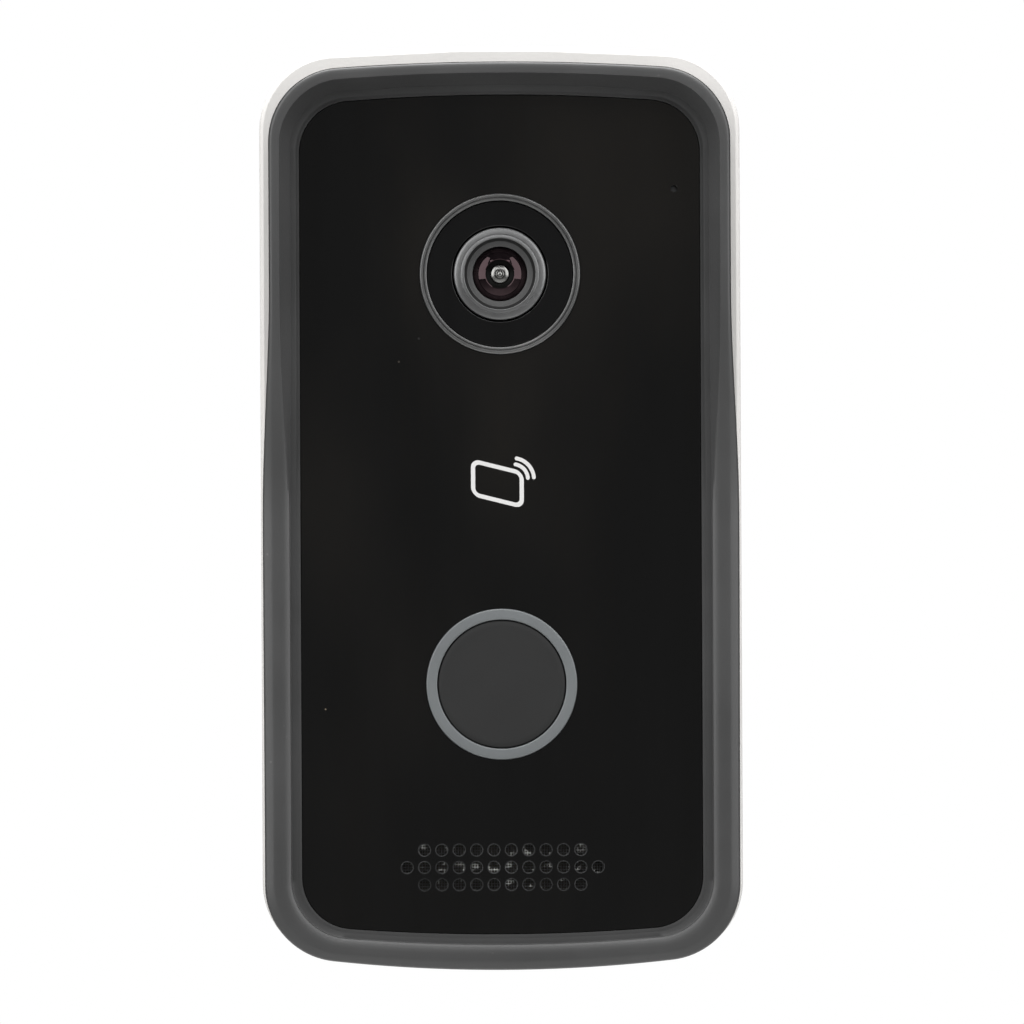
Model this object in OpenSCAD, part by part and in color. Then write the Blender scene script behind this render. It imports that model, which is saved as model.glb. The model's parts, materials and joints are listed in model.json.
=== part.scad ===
// Video door station: a flat glass front in a dark frame with a rain hood, on a
// pale rear housing that hangs on the hooks of a steel wall bracket.
// Z is up, the wall is the plane y = 0 and the front faces -Y. Names that end
// in _d are depths: distances in front of the wall. All sizes are millimetres.

/* [Overall] */
// Height of the front frame
front_h = 130.4; // [126:0.1:160]
// Width of the front frame below its shoulders
front_w = 68.6; // [68:0.2:84]
// How much narrower the rain hood is than the body, on each side
shoulder = 1.2; // [0.4:0.1:1.6]
// How much narrower the frame is at its lower corners, on each side
taper = 0.1; // [0:0.05:0.6]
// Depth from the wall to the crest of the lower rim
rim_d = 26.8; // [26:0.1:33]
// How far the rain hood stands in front of the lower rim
hood_rise = 4.7; // [2:0.1:8]
// Depth from the wall to the joint between rear housing and front frame
joint_d = 14; // [12:0.1:14.2]
// Radius of the bowed top edge
top_bow_r = 340; // [150:5:600]
// Radius of the bowed bottom edge
low_bow_r = 220; // [150:5:600]
// Corner radius at the top
top_corner_r = 10.5; // [7:0.1:12]
// Corner radius at the bottom
low_corner_r = 11; // [8:0.1:13]

/* [Rim] */
// Visible width of the rim beside the glass, below the shoulders
rim_side = 5.45; // [4.4:0.05:6]
// Visible width of the rim above the glass
rim_top = 4.45; // [4:0.05:6]
// Visible width of the rim below the glass
rim_low = 5.1; // [4:0.05:6]
// Depth of the glass face below the crest of the lower rim
glass_drop = 1.6; // [1:0.1:2.5]
// Height at which the shoulders start to widen the frame
shoulder_high = 33; // [20:0.5:34]
// Height at which the shoulders end
shoulder_low = 0; // [-8:0.5:8]

/* [Walls and clearances] */
// Wall thickness of the frame and the rear housing
wall = 2.4; // [2:0.1:2.9]
// Thickness of the front glass
glass_t = 1.8; // [1.4:0.05:2.2]
// Gap between the glass and the frame round it
glass_gap = 0.1; // [0.05:0.05:0.2]
// Width of the ledge that the glass is taped to
ledge_w = 2.2; // [1.8:0.1:2.4]
// Thickness of the tape behind the glass
tape_t = 0.25; // [0.15:0.05:0.4]
// Thickness of the gasket between rear housing and front frame
gasket_t = 0.4; // [0.2:0.05:0.6]

/* [Rear housing] */
// Step of the rear housing outside the frame at the sides
side_step = 0.6; // [0.5:0.05:1.2]
// Step of the rear housing above the frame
top_step = 3; // [0.5:0.1:3.4]
// Step of the rear housing below the frame
low_step = 0.3; // [0.1:0.05:0.6]
// Gap between the rear housing and the wall
wall_gap = 0.4; // [0.3:0.1:0.6]
// Thickness of the housing's back
back_t = 1.8; // [1.5:0.1:2.2]
// Depth of the recess for the bracket
recess_d = 3.6; // [3.4:0.1:4]

/* [Wall bracket] */
// Sheet thickness of the bracket
bracket_t = 1.2; // [1:0.1:1.5]
// Width of the bracket
bracket_w = 44; // [42:0.5:44]
// Width of each hook
hook_w = 8; // [6:0.1:8.4]
// How far the unit lifts before it clears the hooks
lift = 4.6; // [4.4:0.1:4.8]
// Radius of the wall screw holes
anchor_r = 2.2; // [1.8:0.1:2.5]
// Spacing of the wall screw holes across
anchor_x = 32; // [28:0.5:34]

/* [Camera] */
// Distance of the lens axis below the top of the frame
camera_drop = 30.25; // [28:0.05:34]
// Outer diameter of the trim ring round the camera
trim_dia = 23.1; // [22.6:0.1:25]
// Visible width of the trim ring
trim_w = 1.0; // [0.6:0.05:1.2]
// Outer diameter of the lens head
lens_dia = 13.3; // [12.6:0.1:13.6]
// How far the lens stands in front of the glass
lens_proud = 0.45; // [0:0.05:0.8]
// Distance between the two filter windows
filter_shift = 5.4; // [5:0.1:5.6]

/* [Call button] */
// Distance of the button's centre above the foot of the frame
call_rise = 41.1; // [38:0.05:44]
// Diameter of the button's pad
call_dia = 18.4; // [15:0.1:22.2]
// Visible width of the light ring round the pad
ring_w = 1.55; // [1:0.05:1.8]
// Gap between the pad and the light ring
call_gap = 0.1; // [0.08:0.01:0.35]
// Travel of the button
call_travel = 0.4; // [0.2:0.05:0.5]

/* [Speaker] */
// Distance of the speaker's centre above the foot of the frame
speaker_rise = 14.75; // [13.6:0.05:17]
// Diameter of the grille holes
grille_dia = 1.65; // [1.2:0.05:1.9]
// Distance between the grille holes
grille_pitch = 2.5; // [2.2:0.05:2.6]
// Outer width of the speaker
speaker_w = 34; // [33:0.5:40]
// Outer height of the speaker
speaker_h = 14; // [13.6:0.1:14.4]
// Depth of the pocket in the glass for the speaker's mesh
mesh_pocket = 1.1; // [0.6:0.1:1.1]

/* [Hidden] */
$fn = 64;
eps = 0.05;

// Colours
dark_plastic = "#3b3c3d";
pale_plastic = "#d9d6d1";
black_gloss = "#101112";
white_ink = "#e4e4e2";
board_green = "#1f5a38";
zinc = "#b8bcc0";
gold = "#d8b45a";

// Depths, from the glass backwards
glass_front_d = rim_d - glass_drop;
glass_back_d = glass_front_d - glass_t;
ledge_front_d = glass_back_d - tape_t;
ledge_t = 2.15;
ledge_back_d = ledge_front_d - ledge_t;
carrier_front_d = ledge_back_d - eps;
carrier_t = 1.95;
carrier_back_d = carrier_front_d - carrier_t;
board_gap = 1.6;
board_t = 1.6;
board_front_d = carrier_back_d - board_gap;
board_back_d = board_front_d - board_t;
frame_back_d = joint_d + gasket_t;
hood_d = rim_d + hood_rise;
floor_d = recess_d + back_t;

// Heights
top_z = front_h / 2;
low_z = -front_h / 2;
camera_z = top_z - camera_drop;
call_z = low_z + call_rise;
speaker_z = low_z + speaker_rise;
reader_z = (camera_z + call_z) / 2 - 0.95;
icon_x = -0.5;
ink_t = 0.04;
rear_top_z = top_z + top_step;
rear_low_z = low_z - low_step;

// Half widths
front_hw = front_w / 2;
hood_hw = front_hw - shoulder;
rear_hw = front_hw + side_step;
glass_hw = front_hw - rim_side;
glass_top_z = top_z - rim_top;
glass_low_z = low_z + rim_low;
glass_corner_r = 7.5;
glass_bow_r = 290;

// Steps round an outline
side_steps = 36;
corner_steps = 12;
edge_steps = 8;

// Housing screws, from the corners of the frame
screw_x = front_hw - 9;
screw_inset = 7;
screw_top_z = top_z - bow_drop(top_bow_r, screw_x) - screw_inset;
screw_low_z = low_z + bow_drop(low_bow_r, screw_x) + screw_inset;
screw_r = 1.2;
screw_head_r = 2.1;
screw_head_t = 1.8;
screw_seat_d = wall_gap + 5.5;
post_r = 3.6;
post_front_d = 8.9;
boss_r = 3;

// Bracket and the recess for it
bracket_top_z = top_z - 7.8;
bracket_low_z = low_z + 13.2;
recess_hw = bracket_w / 2 + 0.5;
recess_wall = 1.6;
hook_x = 17;
hook_top_z = bracket_top_z - 6.5;
hook_low_z = bracket_low_z + 21;
hook_places = [[-hook_x, hook_top_z], [hook_x, hook_top_z],
               [-hook_x, hook_low_z], [hook_x, hook_low_z]];
hook_gap = 0.4;
lip_rise = 3.8;
lip_back_d = floor_d + hook_gap;
lip_front_d = lip_back_d + bracket_t;
pocket_front_d = lip_front_d + 0.3;
anchor_top_z = bracket_top_z - 19.4;
anchor_low_z = bracket_low_z + 6;

// Lock screw and the tab that it enters
lock_d = 4.9;
lock_r = 1.5;
lock_head_r = 2.75;
lock_head_t = 1.6;
lock_length = 9.6;
lock_seat_z = rear_low_z + lock_head_t + 0.1;
lock_floor_z = rear_low_z + 3.3;
tab_low_z = lock_floor_z + lift + 0.7;
tab_hw = 5.5;
tab_front_d = 8.5;
lock_pocket_hw = 8;
lock_pocket_d = 9.5;
lock_pocket_top_z = tab_low_z + 6.7;

// Cable bay
bay_hw = 20;
bay_low_z = -14;
bay_top_z = 18;
bay_wall = 1.7;
bay_mid_z = (bay_low_z + bay_top_z) / 2;
seal_t = 0.3;

// Main board
board_hw = hood_hw - wall - 0.9;
board_low_z = speaker_z + speaker_h / 2 + 0.8;
board_top_z = bay_top_z + 7.6;
board_screw_x = screw_x;
board_screw_inset = 3.5;
board_screw_places = [
    for (x = [-board_screw_x, board_screw_x],
         z = [board_low_z + board_screw_inset, board_top_z - board_screw_inset])
        [x, z]
];

// Camera stack, from the lens backwards
lens_front_d = glass_front_d + lens_proud;
lens_r = lens_dia / 2;
lens_thread_r = 6;
lens_head_l = 8.2;
lens_l = 14.8;
lens_back_d = lens_front_d - lens_l;
sensor_front_d = lens_back_d - 1.65;
camera_board_front_d = sensor_front_d - 0.8;
camera_board_t = 1;
camera_board_back_d = camera_board_front_d - camera_board_t;
camera_board_hw = 14.2;
camera_board_low = 8.5;
camera_board_high = 9;
camera_screw_x = 11.9;
slot_back_d = sensor_front_d + 0.25;
slot_front_d = slot_back_d + 1.15;
slider_t = 0.7;
slider_back_d = slot_back_d + 0.2;
filter_r = 2.3;
slider_end = 2.9;

// Call button stack
call_r = call_dia / 2;
ring_in_r = call_r + call_gap;
ring_out_r = ring_in_r + ring_w;
ring_proud = 0.35;
call_proud = 0.15;
call_flange_r = call_r + 1.05;
call_flange_back_d = carrier_front_d + call_travel + 0.1;
call_flange_t = 1.3;
stem_front_d = carrier_front_d - 0.85;

// Microphone
mic_x = glass_hw - 3.75;
mic_z = top_z - 18.1;

// Parts in the cable bay
jack_x = 10.5;
jack_w = 16;
jack_h = 13.5;
jack_l = 11.6;
jack_back_d = board_back_d - jack_l;
term_x = -5;
term_ways = 6;
term_pitch = 3.5;
term_w = 8.2;
term_l = 9;
term_back_d = board_back_d - term_l;
push_x = -15.5;
tamper_z = bay_low_z + 6;
tamper_r = 1.5;
tamper_out = 2;
tamper_back_d = board_back_d - 5;
reset_z = bay_mid_z + 4;
reset_r = 1.2;
reset_travel = 0.4;
reset_back_d = board_back_d - 3.6;
running_gap = 0.05;

// ---------------------------------------------------------------- helpers

function ease(t) = let (u = min(1, max(0, t))) u * u * (3 - 2 * u);
function mix(a, b, t) = a + (b - a) * t;
function bow_drop(r, x) = r - sqrt(r ^ 2 - x ^ 2);
function hood_share(z) = ease((z - shoulder_low) / (shoulder_high - shoulder_low));

// Points round a closed outline with bowed ends, from the lower right upwards.
// narrow and wide are the half widths above and below the shoulders.
function outline(narrow, wide, low_taper, top, low, r_top, r_low, top_bow, low_bow, sides) =
    let (
        low_hw = wide - low_taper,
        top_c = top - top_bow + sqrt((top_bow - r_top) ^ 2 - (narrow - r_top) ^ 2),
        low_c = low + low_bow - sqrt((low_bow - r_low) ^ 2 - (low_hw - r_low) ^ 2),
        top_a = asin((narrow - r_top) / (top_bow - r_top)),
        low_a = asin((low_hw - r_low) / (low_bow - r_low)),
        side = [for (i = [0:sides - 1])
            let (z = mix(low_c, top_c, i / sides))
            [mix(wide, narrow, hood_share(z)) - low_taper * ease(z / low_c), z]],
        back = [for (i = [0:sides - 1])
            let (z = mix(top_c, low_c, i / sides))
            [-mix(wide, narrow, hood_share(z)) + low_taper * ease(z / low_c), z]]
    )
    concat(
        side,
        arc(narrow - r_top, top_c, r_top, 0, 90 - top_a, corner_steps),
        arc(0, top - top_bow, top_bow, 90 - top_a, 90 + top_a, edge_steps),
        arc(r_top - narrow, top_c, r_top, 90 + top_a, 180, corner_steps),
        back,
        arc(r_low - low_hw, low_c, r_low, 180, 270 - low_a, corner_steps),
        arc(0, low + low_bow, low_bow, 270 - low_a, 270 + low_a, edge_steps),
        arc(low_hw - r_low, low_c, r_low, 270 + low_a, 360, corner_steps)
    );

function arc(x, z, r, from, to, steps) = [
    for (i = [0:steps - 1])
        let (a = mix(from, to, i / steps))
        [x + r * cos(a), z + r * sin(a)]
];

function inward(pts, i) =
    let (
        n = len(pts),
        t = pts[(i + 1) % n] - pts[(i + n - 1) % n]
    )
    [-t.y, t.x] / norm(t);

function inset(pts, gap) = [for (i = [0:len(pts) - 1]) pts[i] + gap * inward(pts, i)];

function rounded(w, h, r) = concat(
    arc(w / 2 - r, h / 2 - r, r, 0, 90, 8),
    [[r - w / 2, h / 2]],
    arc(r - w / 2, h / 2 - r, r, 90, 180, 8),
    [[-w / 2, r - h / 2]],
    arc(r - w / 2, r - h / 2, r, 180, 270, 8),
    [[w / 2 - r, -h / 2]],
    arc(w / 2 - r, r - h / 2, r, 270, 360, 8),
    [[w / 2, h / 2 - r]]
);

// Extrudes a flat shape drawn in X and Z between two depths
module layer(back_d, front_d) {
    translate([0, -back_d, 0])
        rotate([90, 0, 0])
            linear_extrude(front_d - back_d)
                children();
}

module block(x, z, w, h, back_d, front_d) {
    translate([x - w / 2, -front_d, z - h / 2])
        cube([w, front_d - back_d, h]);
}

module rod(x, z, r, back_d, front_d) {
    translate([x, -back_d, z])
        rotate([90, 0, 0])
            cylinder(r = r, h = front_d - back_d);
}

// Turned part: points are [radius, depth]
module turned(x, z, points) {
    translate([x, 0, z])
        rotate([90, 0, 0])
            rotate_extrude()
                polygon(points);
}

module plate(x, z, w, h, r) {
    translate([x, z])
        polygon(rounded(w, h, r));
}

module hole(x, z, r) {
    translate([x, z])
        circle(r = r);
}

frame_out = outline(hood_hw, front_hw, taper, top_z, low_z,
                    top_corner_r, low_corner_r, top_bow_r, low_bow_r, side_steps);
glass_pocket = outline(glass_hw, glass_hw, 0, glass_top_z, glass_low_z,
                       glass_corner_r, glass_corner_r, glass_bow_r, glass_bow_r, side_steps);
glass_edge = outline(glass_hw, glass_hw, 0, glass_top_z, glass_low_z,
                     glass_corner_r, glass_corner_r, glass_bow_r, glass_bow_r, 1);
rear_out = outline(rear_hw, rear_hw, 0, rear_top_z, rear_low_z,
                   top_corner_r + side_step, low_corner_r, top_bow_r, low_bow_r, 1);
hood_edge = outline(hood_hw, hood_hw, 0, top_z, low_z,
                    top_corner_r, low_corner_r, top_bow_r, low_bow_r, 1);

// ---------------------------------------------------------------- bracket

module hook(x, z) {
    block(x, z + bracket_t / 2, hook_w, bracket_t, bracket_t - eps, lip_front_d);
    block(x, z + (bracket_t + lip_rise) / 2, hook_w, bracket_t + lip_rise,
          lip_back_d, lip_front_d);
}

module wall_bracket() {
    mid_z = (bracket_top_z + bracket_low_z) / 2;
    tongue_top_z = bracket_low_z + 4;
    color(zinc) difference() {
        union() {
            layer(0, bracket_t) {
                difference() {
                    union() {
                        plate(0, mid_z, bracket_w, bracket_top_z - bracket_low_z, 5);
                        translate([-tab_hw, tab_low_z])
                            square([2 * tab_hw, tongue_top_z - tab_low_z]);
                    }
                    plate(0, bay_mid_z, 2 * bay_hw - 2, bay_top_z - bay_low_z - 2, 3);
                    plate(0, hook_low_z + 4, 22, 18, 2);
                    for (p = hook_places)
                        translate([p.x - hook_w / 2 - 0.4, p.y + bracket_t])
                            square([hook_w + 0.8, lip_rise + 0.6]);
                    for (x = [-anchor_x / 2, anchor_x / 2], z = [anchor_top_z, anchor_low_z])
                        hole(x, z, anchor_r);
                    hole(0, anchor_top_z, anchor_r + 1);
                }
            }
            for (p = hook_places)
                hook(p.x, p.y);
            block(0, tab_low_z + bracket_t / 2, 2 * tab_hw, bracket_t,
                  bracket_t - eps, tab_front_d);
        }
        translate([0, -lock_d, tab_low_z - 1])
            cylinder(r = lock_r + 0.1, h = bracket_t + 2);
    }
}

module lock_screw() {
    color(zinc) translate([0, -lock_d, lock_seat_z]) difference() {
        union() {
            cylinder(r = lock_r, h = lock_length);
            translate([0, 0, -lock_head_t])
                cylinder(r = lock_head_r, h = lock_head_t);
        }
        for (a = [0, 90])
            rotate([0, 0, a])
                translate([-1.6, -0.35, -lock_head_t - 1])
                    cube([3.2, 0.7, 1.9]);
    }
}

// ---------------------------------------------------------------- rear housing

module screw_places() {
    for (x = [-screw_x, screw_x], z = [screw_low_z, screw_top_z])
        translate([x, 0, z])
            children();
}

module rear_shell() {
    edge = 0.8;
    difference() {
        union() {
            layer(wall_gap, wall_gap + edge)
                polygon(inset(rear_out, edge));
            layer(wall_gap + edge, joint_d - edge)
                polygon(rear_out);
            layer(joint_d - edge, joint_d)
                polygon(inset(rear_out, edge * 0.75));
        }
        layer(wall_gap + back_t, joint_d - 2.5)
            polygon(inset(rear_out, wall));
        layer(joint_d - 3, joint_d + 1)
            polygon(inset(hood_edge, wall + 0.2));
    }
}

module rear_housing() {
    recess_top_z = bracket_top_z + 0.5;
    recess_low_z = bracket_low_z - lift - 0.4;
    recess_mid_z = (recess_top_z + recess_low_z) / 2;
    recess_h = recess_top_z - recess_low_z;
    lock_h = lock_pocket_top_z - lock_floor_z;
    lock_mid_z = (lock_pocket_top_z + lock_floor_z) / 2;
    slot_h = lip_rise + bracket_t + 1.8;
    pocket_h = slot_h + 4.4;
    color(pale_plastic) difference() {
        union() {
            rear_shell();
            block(0, recess_mid_z, 2 * (recess_hw + recess_wall), recess_h + 2 * recess_wall,
                  wall_gap + eps, floor_d);
            block(0, lock_mid_z, 2 * (lock_pocket_hw + recess_wall), lock_h + 2 * recess_wall,
                  wall_gap + 1, lock_pocket_d + back_t);
            for (p = hook_places)
                block(p.x, p.y - 0.1, hook_w + 3.8, pocket_h + 2, floor_d - 1, pocket_front_d + 1);
            block(0, bay_mid_z, 2 * (bay_hw + bay_wall), bay_top_z - bay_low_z + 2 * bay_wall,
                  floor_d - 1, board_back_d - seal_t);
            screw_places()
                rod(0, 0, post_r, wall_gap + 1, post_front_d);
        }
        block(0, recess_mid_z, 2 * recess_hw, recess_h, -1, recess_d);
        for (p = hook_places) {
            block(p.x, p.y + 1.3 - slot_h / 2, hook_w + 0.6, slot_h, recess_d - 1, floor_d + 1);
            block(p.x, p.y - 0.1, hook_w + 1.8, pocket_h, floor_d, pocket_front_d);
        }
        block(0, bay_mid_z, 2 * bay_hw, bay_top_z - bay_low_z, -1, board_back_d + 1);
        block(0, lock_mid_z, 2 * lock_pocket_hw, lock_h, -1, lock_pocket_d);
        translate([0, -lock_d, rear_low_z - 2])
            cylinder(r = lock_head_r + 0.15, h = 2 + lock_seat_z - rear_low_z);
        translate([0, -lock_d, rear_low_z - 2])
            cylinder(r = lock_r + 0.15, h = 8);
        screw_places() {
            rod(0, 0, screw_head_r + 0.3, -1, screw_seat_d);
            rod(0, 0, screw_r + 0.15, -1, post_front_d + 1);
        }
    }
}

module housing_gasket() {
    color("#222324") layer(joint_d, frame_back_d) difference() {
        polygon(inset(frame_out, 0.5));
        polygon(inset(frame_out, wall - 0.1));
    }
}

module housing_screws() {
    color(zinc) screw_places() difference() {
        union() {
            rod(0, 0, screw_r, screw_seat_d - eps, board_back_d + 0.7);
            rod(0, 0, screw_head_r, screw_seat_d - screw_head_t, screw_seat_d);
        }
        for (a = [0, 90])
            rotate([0, a, 0])
                block(0, 0, 2.4, 0.55, screw_seat_d - screw_head_t - 1, screw_seat_d - 0.9);
    }
}

module rating_label() {
    color(white_ink) layer(recess_d - 0.12, recess_d)
        plate(0, hook_low_z + 4, 20, 14, 1);
}

// ---------------------------------------------------------------- front frame

// Section of the rim as [share of the way from the frame's edge to the glass,
// distance further inwards, depth]. Both sections have the same points.
back_section = [
    [1, 0, ledge_front_d], [1, ledge_w, ledge_front_d], [1, ledge_w, ledge_back_d],
    [0, wall, ledge_back_d], [0, wall, frame_back_d]
];
lip_d = glass_front_d + 0.12;
groove_d = lip_d - 0.04;
lip_section = [
    [0.84, 0, lip_d], [0.865, 0, groove_d], [0.91, 0, groove_d], [0.935, 0, lip_d],
    [0.992, 0, lip_d], [1, 0, glass_front_d]
];
rim_section = concat([
    [0, 0.05, frame_back_d], [0, 0, rim_d - 7], [0, 0, rim_d - 1.6],
    [0.01, 0, rim_d - 0.95], [0.03, 0, rim_d - 0.65], [0.06, 0, rim_d - 0.47],
    [0.22, 0, rim_d - 0.1], [0.30, 0, rim_d - 0.02], [0.38, 0, rim_d],
    [0.47, 0, rim_d - 0.01], [0.54, 0, rim_d - 0.06], [0.60, 0, rim_d - 0.14],
    [0.66, 0, rim_d - 0.27], [0.71, 0, rim_d - 0.45], [0.73, 0, lip_d + 0.02], [0.735, 0, lip_d]
], lip_section, back_section);
hood_section = concat([
    [0, 0.05, frame_back_d], [0, 0, rim_d - 7], [0, 0, hood_d - 1.4],
    [0.006, 0, hood_d - 0.8], [0.02, 0, hood_d - 0.42], [0.045, 0, hood_d - 0.2],
    [0.09, 0, hood_d - 0.07], [0.15, 0, hood_d - 0.02], [0.21, 0, hood_d],
    [0.26, 0, hood_d], [0.30, 0, hood_d], [0.33, 0, hood_d - 0.005],
    [0.36, 0, hood_d - 0.02], [0.375, 0, hood_d - 0.5], [0.655, 0, lip_d + 0.5], [0.70, 0, lip_d]
], lip_section, back_section);

module front_frame() {
    stations = len(frame_out);
    ribs = len(rim_section);
    points = [
        for (s = [0:stations - 1])
            let (
                edge = frame_out[s],
                seat = glass_pocket[s],
                share = hood_share(edge.y),
                edge_in = inward(frame_out, s),
                seat_in = inward(glass_pocket, s)
            )
            for (k = [0:ribs - 1])
                let (
                    q = mix(rim_section[k], hood_section[k], share),
                    p = mix(edge, seat, q[0]) + q[1] * (q[0] > 0.99 ? seat_in : edge_in)
                )
                [p.x, -q[2], p.y]
    ];
    faces = [
        for (s = [0:stations - 1], k = [0:ribs - 1])
            let (
                a = s * ribs + k,
                b = s * ribs + (k + 1) % ribs,
                c = ((s + 1) % stations) * ribs + (k + 1) % ribs,
                d = ((s + 1) % stations) * ribs + k
            )
            each [[a, c, b], [a, d, c]]
    ];
    color(dark_plastic)
        polyhedron(points = points, faces = faces, convexity = 6);
}

module camera_boss(x) {
    rod(x, camera_z, 2, camera_board_front_d, carrier_back_d + eps);
}

module panel_carrier() {
    color("#2b2c2d") difference() {
        union() {
            layer(carrier_back_d, carrier_front_d) difference() {
                polygon(inset(hood_edge, wall + 0.35));
                hole(0, camera_z, lens_r + 0.55);
                hole(0, call_z, 4.7);
                hole(mic_x, mic_z, 3.5);
                plate(0, speaker_z, speaker_w + 0.6, speaker_h + 0.6, 5.3);
                for (a = [45:90:315])
                    hole((call_flange_r + 0.95) * cos(a), call_z + (call_flange_r + 0.95) * sin(a), 0.8);
            }
            screw_places()
                rod(0, 0, boss_r, post_front_d + 0.1, carrier_back_d + eps);
            for (p = board_screw_places)
                rod(p.x, p.y, 2.4, board_front_d, carrier_back_d + eps);
            for (x = [-camera_screw_x, camera_screw_x])
                camera_boss(x);
        }
        screw_places()
            rod(0, 0, screw_r + running_gap, post_front_d - 1, board_back_d + 1.2);
        for (p = board_screw_places)
            rod(p.x, p.y, 0.85, board_front_d - 1, carrier_back_d + 0.8);
        for (x = [-camera_screw_x, camera_screw_x])
            rod(x, camera_z, 0.75, camera_board_front_d - 1, camera_board_front_d + 4);
    }
}

module panel_tape() {
    color("#18191a") layer(ledge_front_d, glass_back_d) difference() {
        polygon(inset(glass_edge, 0.3));
        polygon(inset(glass_edge, ledge_w - 0.1));
    }
}

// Grille: three rows, the middle one with one more hole at each end
grille = [for (row = [-1:1])
    let (count = row == 0 ? 12 : 10)
    for (i = [0:count - 1])
        [(i - (count - 1) / 2) * grille_pitch, speaker_z + row * grille_pitch]];

module glass_sheet() {
    color(black_gloss) layer(glass_back_d, glass_front_d) difference() {
        polygon(inset(glass_edge, glass_gap));
        hole(0, camera_z, trim_dia / 2 + 0.1);
        hole(0, call_z, ring_out_r + 0.1);
        hole(mic_x, mic_z, 0.5);
        for (p = grille)
            hole(p.x, p.y, grille_dia / 2);
    }
}

module front_glass() {
    difference() {
        glass_sheet();
        layer(glass_back_d - 1, mesh_back_d + mesh_t + mesh_gap)
            plate(0, speaker_z, speaker_w - 1, speaker_h - 1, 4.2);
    }
}

// Card with two waves at its corner, as printed ink
module reader_icon() {
    card_w = 7.6;
    card_h = 5.4;
    card_r = 1.3;
    lean = 14.2;
    line_w = 0.61;
    wave_c = [2.2, 0.6];
    wave_hw = 0.27;
    card = [for (p = rounded(card_w, card_h, card_r)) [p.x, p.y - p.x * tan(lean)]];
    card_in = [for (p = rounded(card_w - 2 * line_w, card_h - 2 * line_w, card_r - line_w))
        [p.x, p.y - p.x * tan(lean)]];
    color(white_ink) layer(glass_front_d, glass_front_d + ink_t) translate([icon_x, reader_z]) {
        difference() {
            polygon(card);
            polygon(card_in);
        }
        for (r = [2.2, 3.07])
            polygon([for (p = wave(r, wave_hw, 5, 79)) wave_c + p]);
    }
}

// Arc stroke with round ends
function wave(r, hw, from, to) = concat(
    [for (a = [from:6:to]) (r + hw) * [cos(a), sin(a)]],
    [for (a = [0:30:180]) r * [cos(to), sin(to)] + hw * [cos(to + a), sin(to + a)]],
    [for (a = [to:-6:from]) (r - hw) * [cos(a), sin(a)]],
    [for (a = [180:30:330]) r * [cos(from), sin(from)] + hw * [cos(from + a), sin(from + a)]]
);

// ---------------------------------------------------------------- camera

module camera_trim_ring() {
    r = trim_dia / 2;
    bevel = 0.25;
    front = glass_front_d + 0.35;
    color("#6a6e71") turned(0, camera_z, [
        [r - trim_w, carrier_front_d + eps], [r + 1, carrier_front_d + eps],
        [r + 1, glass_back_d - 0.2], [r, glass_back_d - 0.2], [r, front - bevel],
        [r - bevel, front], [r - trim_w + bevel, front], [r - trim_w, front - bevel]
    ]);
}

module camera_window() {
    color(black_gloss) layer(glass_front_d - 1.6, glass_front_d - 0.2) difference() {
        hole(0, camera_z, trim_dia / 2 - trim_w - 0.1);
        hole(0, camera_z, lens_r + 0.25);
    }
}

module lens_barrel() {
    head_d = lens_front_d - lens_head_l;
    color("#4a4d50") turned(0, camera_z, [
        [5.1, lens_front_d], [4.95, lens_front_d - 0.75], [3.95, lens_front_d - 0.85],
        [3.95, lens_front_d - 4],
        [3.1, lens_front_d - 4], [3.1, lens_back_d + 1], [2.6, lens_back_d],
        [lens_thread_r, lens_back_d], [lens_thread_r, head_d], [lens_r, head_d],
        [lens_r, lens_front_d - 0.5], [lens_r - 0.5, lens_front_d]
    ]);
}

module lens_front_element() {
    dome_r = 6.2;
    edge_r = 3.85;
    rise = dome_r - sqrt(dome_r ^ 2 - edge_r ^ 2);
    edge_d = lens_front_d - 1.75;
    color("#1b1530") turned(0, camera_z, concat(
        [[0, edge_d - 2], [edge_r, edge_d - 2]],
        [for (i = [0:8])
            let (r = edge_r * (1 - i / 8))
            [r, edge_d + rise - dome_r + sqrt(dome_r ^ 2 - r ^ 2)]]
    ));
}

module lens_inner_elements() {
    color("#2a2438") for (i = [0:2])
        rod(0, camera_z, 3.05, lens_front_d - 6.6 - 2.9 * i, lens_front_d - 5 - 2.9 * i);
}

module lens_holder() {
    tower_r = 7.6;
    base_hw = camera_screw_x - 2.2;
    base_hh = 7.2;
    tower_front_d = lens_front_d - lens_head_l - 0.45;
    base_front_d = lens_back_d + 1.75;
    color("#1c1d1e") difference() {
        union() {
            block(0, camera_z, 2 * base_hw, 2 * base_hh, camera_board_front_d, base_front_d);
            rod(0, camera_z, tower_r, base_front_d - eps, tower_front_d);
        }
        block(0, camera_z, 9.2, 8, camera_board_front_d - 1, slot_back_d + eps);
        block(0, camera_z, 2 * (filter_shift + slider_end + 0.3), 7.4, slot_back_d, slot_front_d);
        rod(0, camera_z, lens_thread_r + running_gap, slot_front_d - eps, tower_front_d + 1);
    }
}

module filter_slider() {
    mid_x = filter_shift / 2;
    color("#3a3a3c") layer(slider_back_d, slider_back_d + slider_t) difference() {
        plate(mid_x, camera_z, filter_shift + 2 * slider_end, 7, 0.6);
        hole(0, camera_z, filter_r);
        hole(filter_shift, camera_z, filter_r);
    }
}

module filter_glasses() {
    color("#7fb8c8") for (x = [0, filter_shift])
        rod(x, camera_z, filter_r - running_gap, slider_back_d + 0.15, slider_back_d + 0.55);
}

module filter_coil() {
    color("#a8642c")
        block(0, camera_z + 8.1, 8, 1.5, camera_board_front_d + eps, camera_board_front_d + 2.8);
}

module image_sensor() {
    color("#24333a")
        block(0, camera_z, 6.4, 5.4, camera_board_front_d, sensor_front_d);
}

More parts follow.
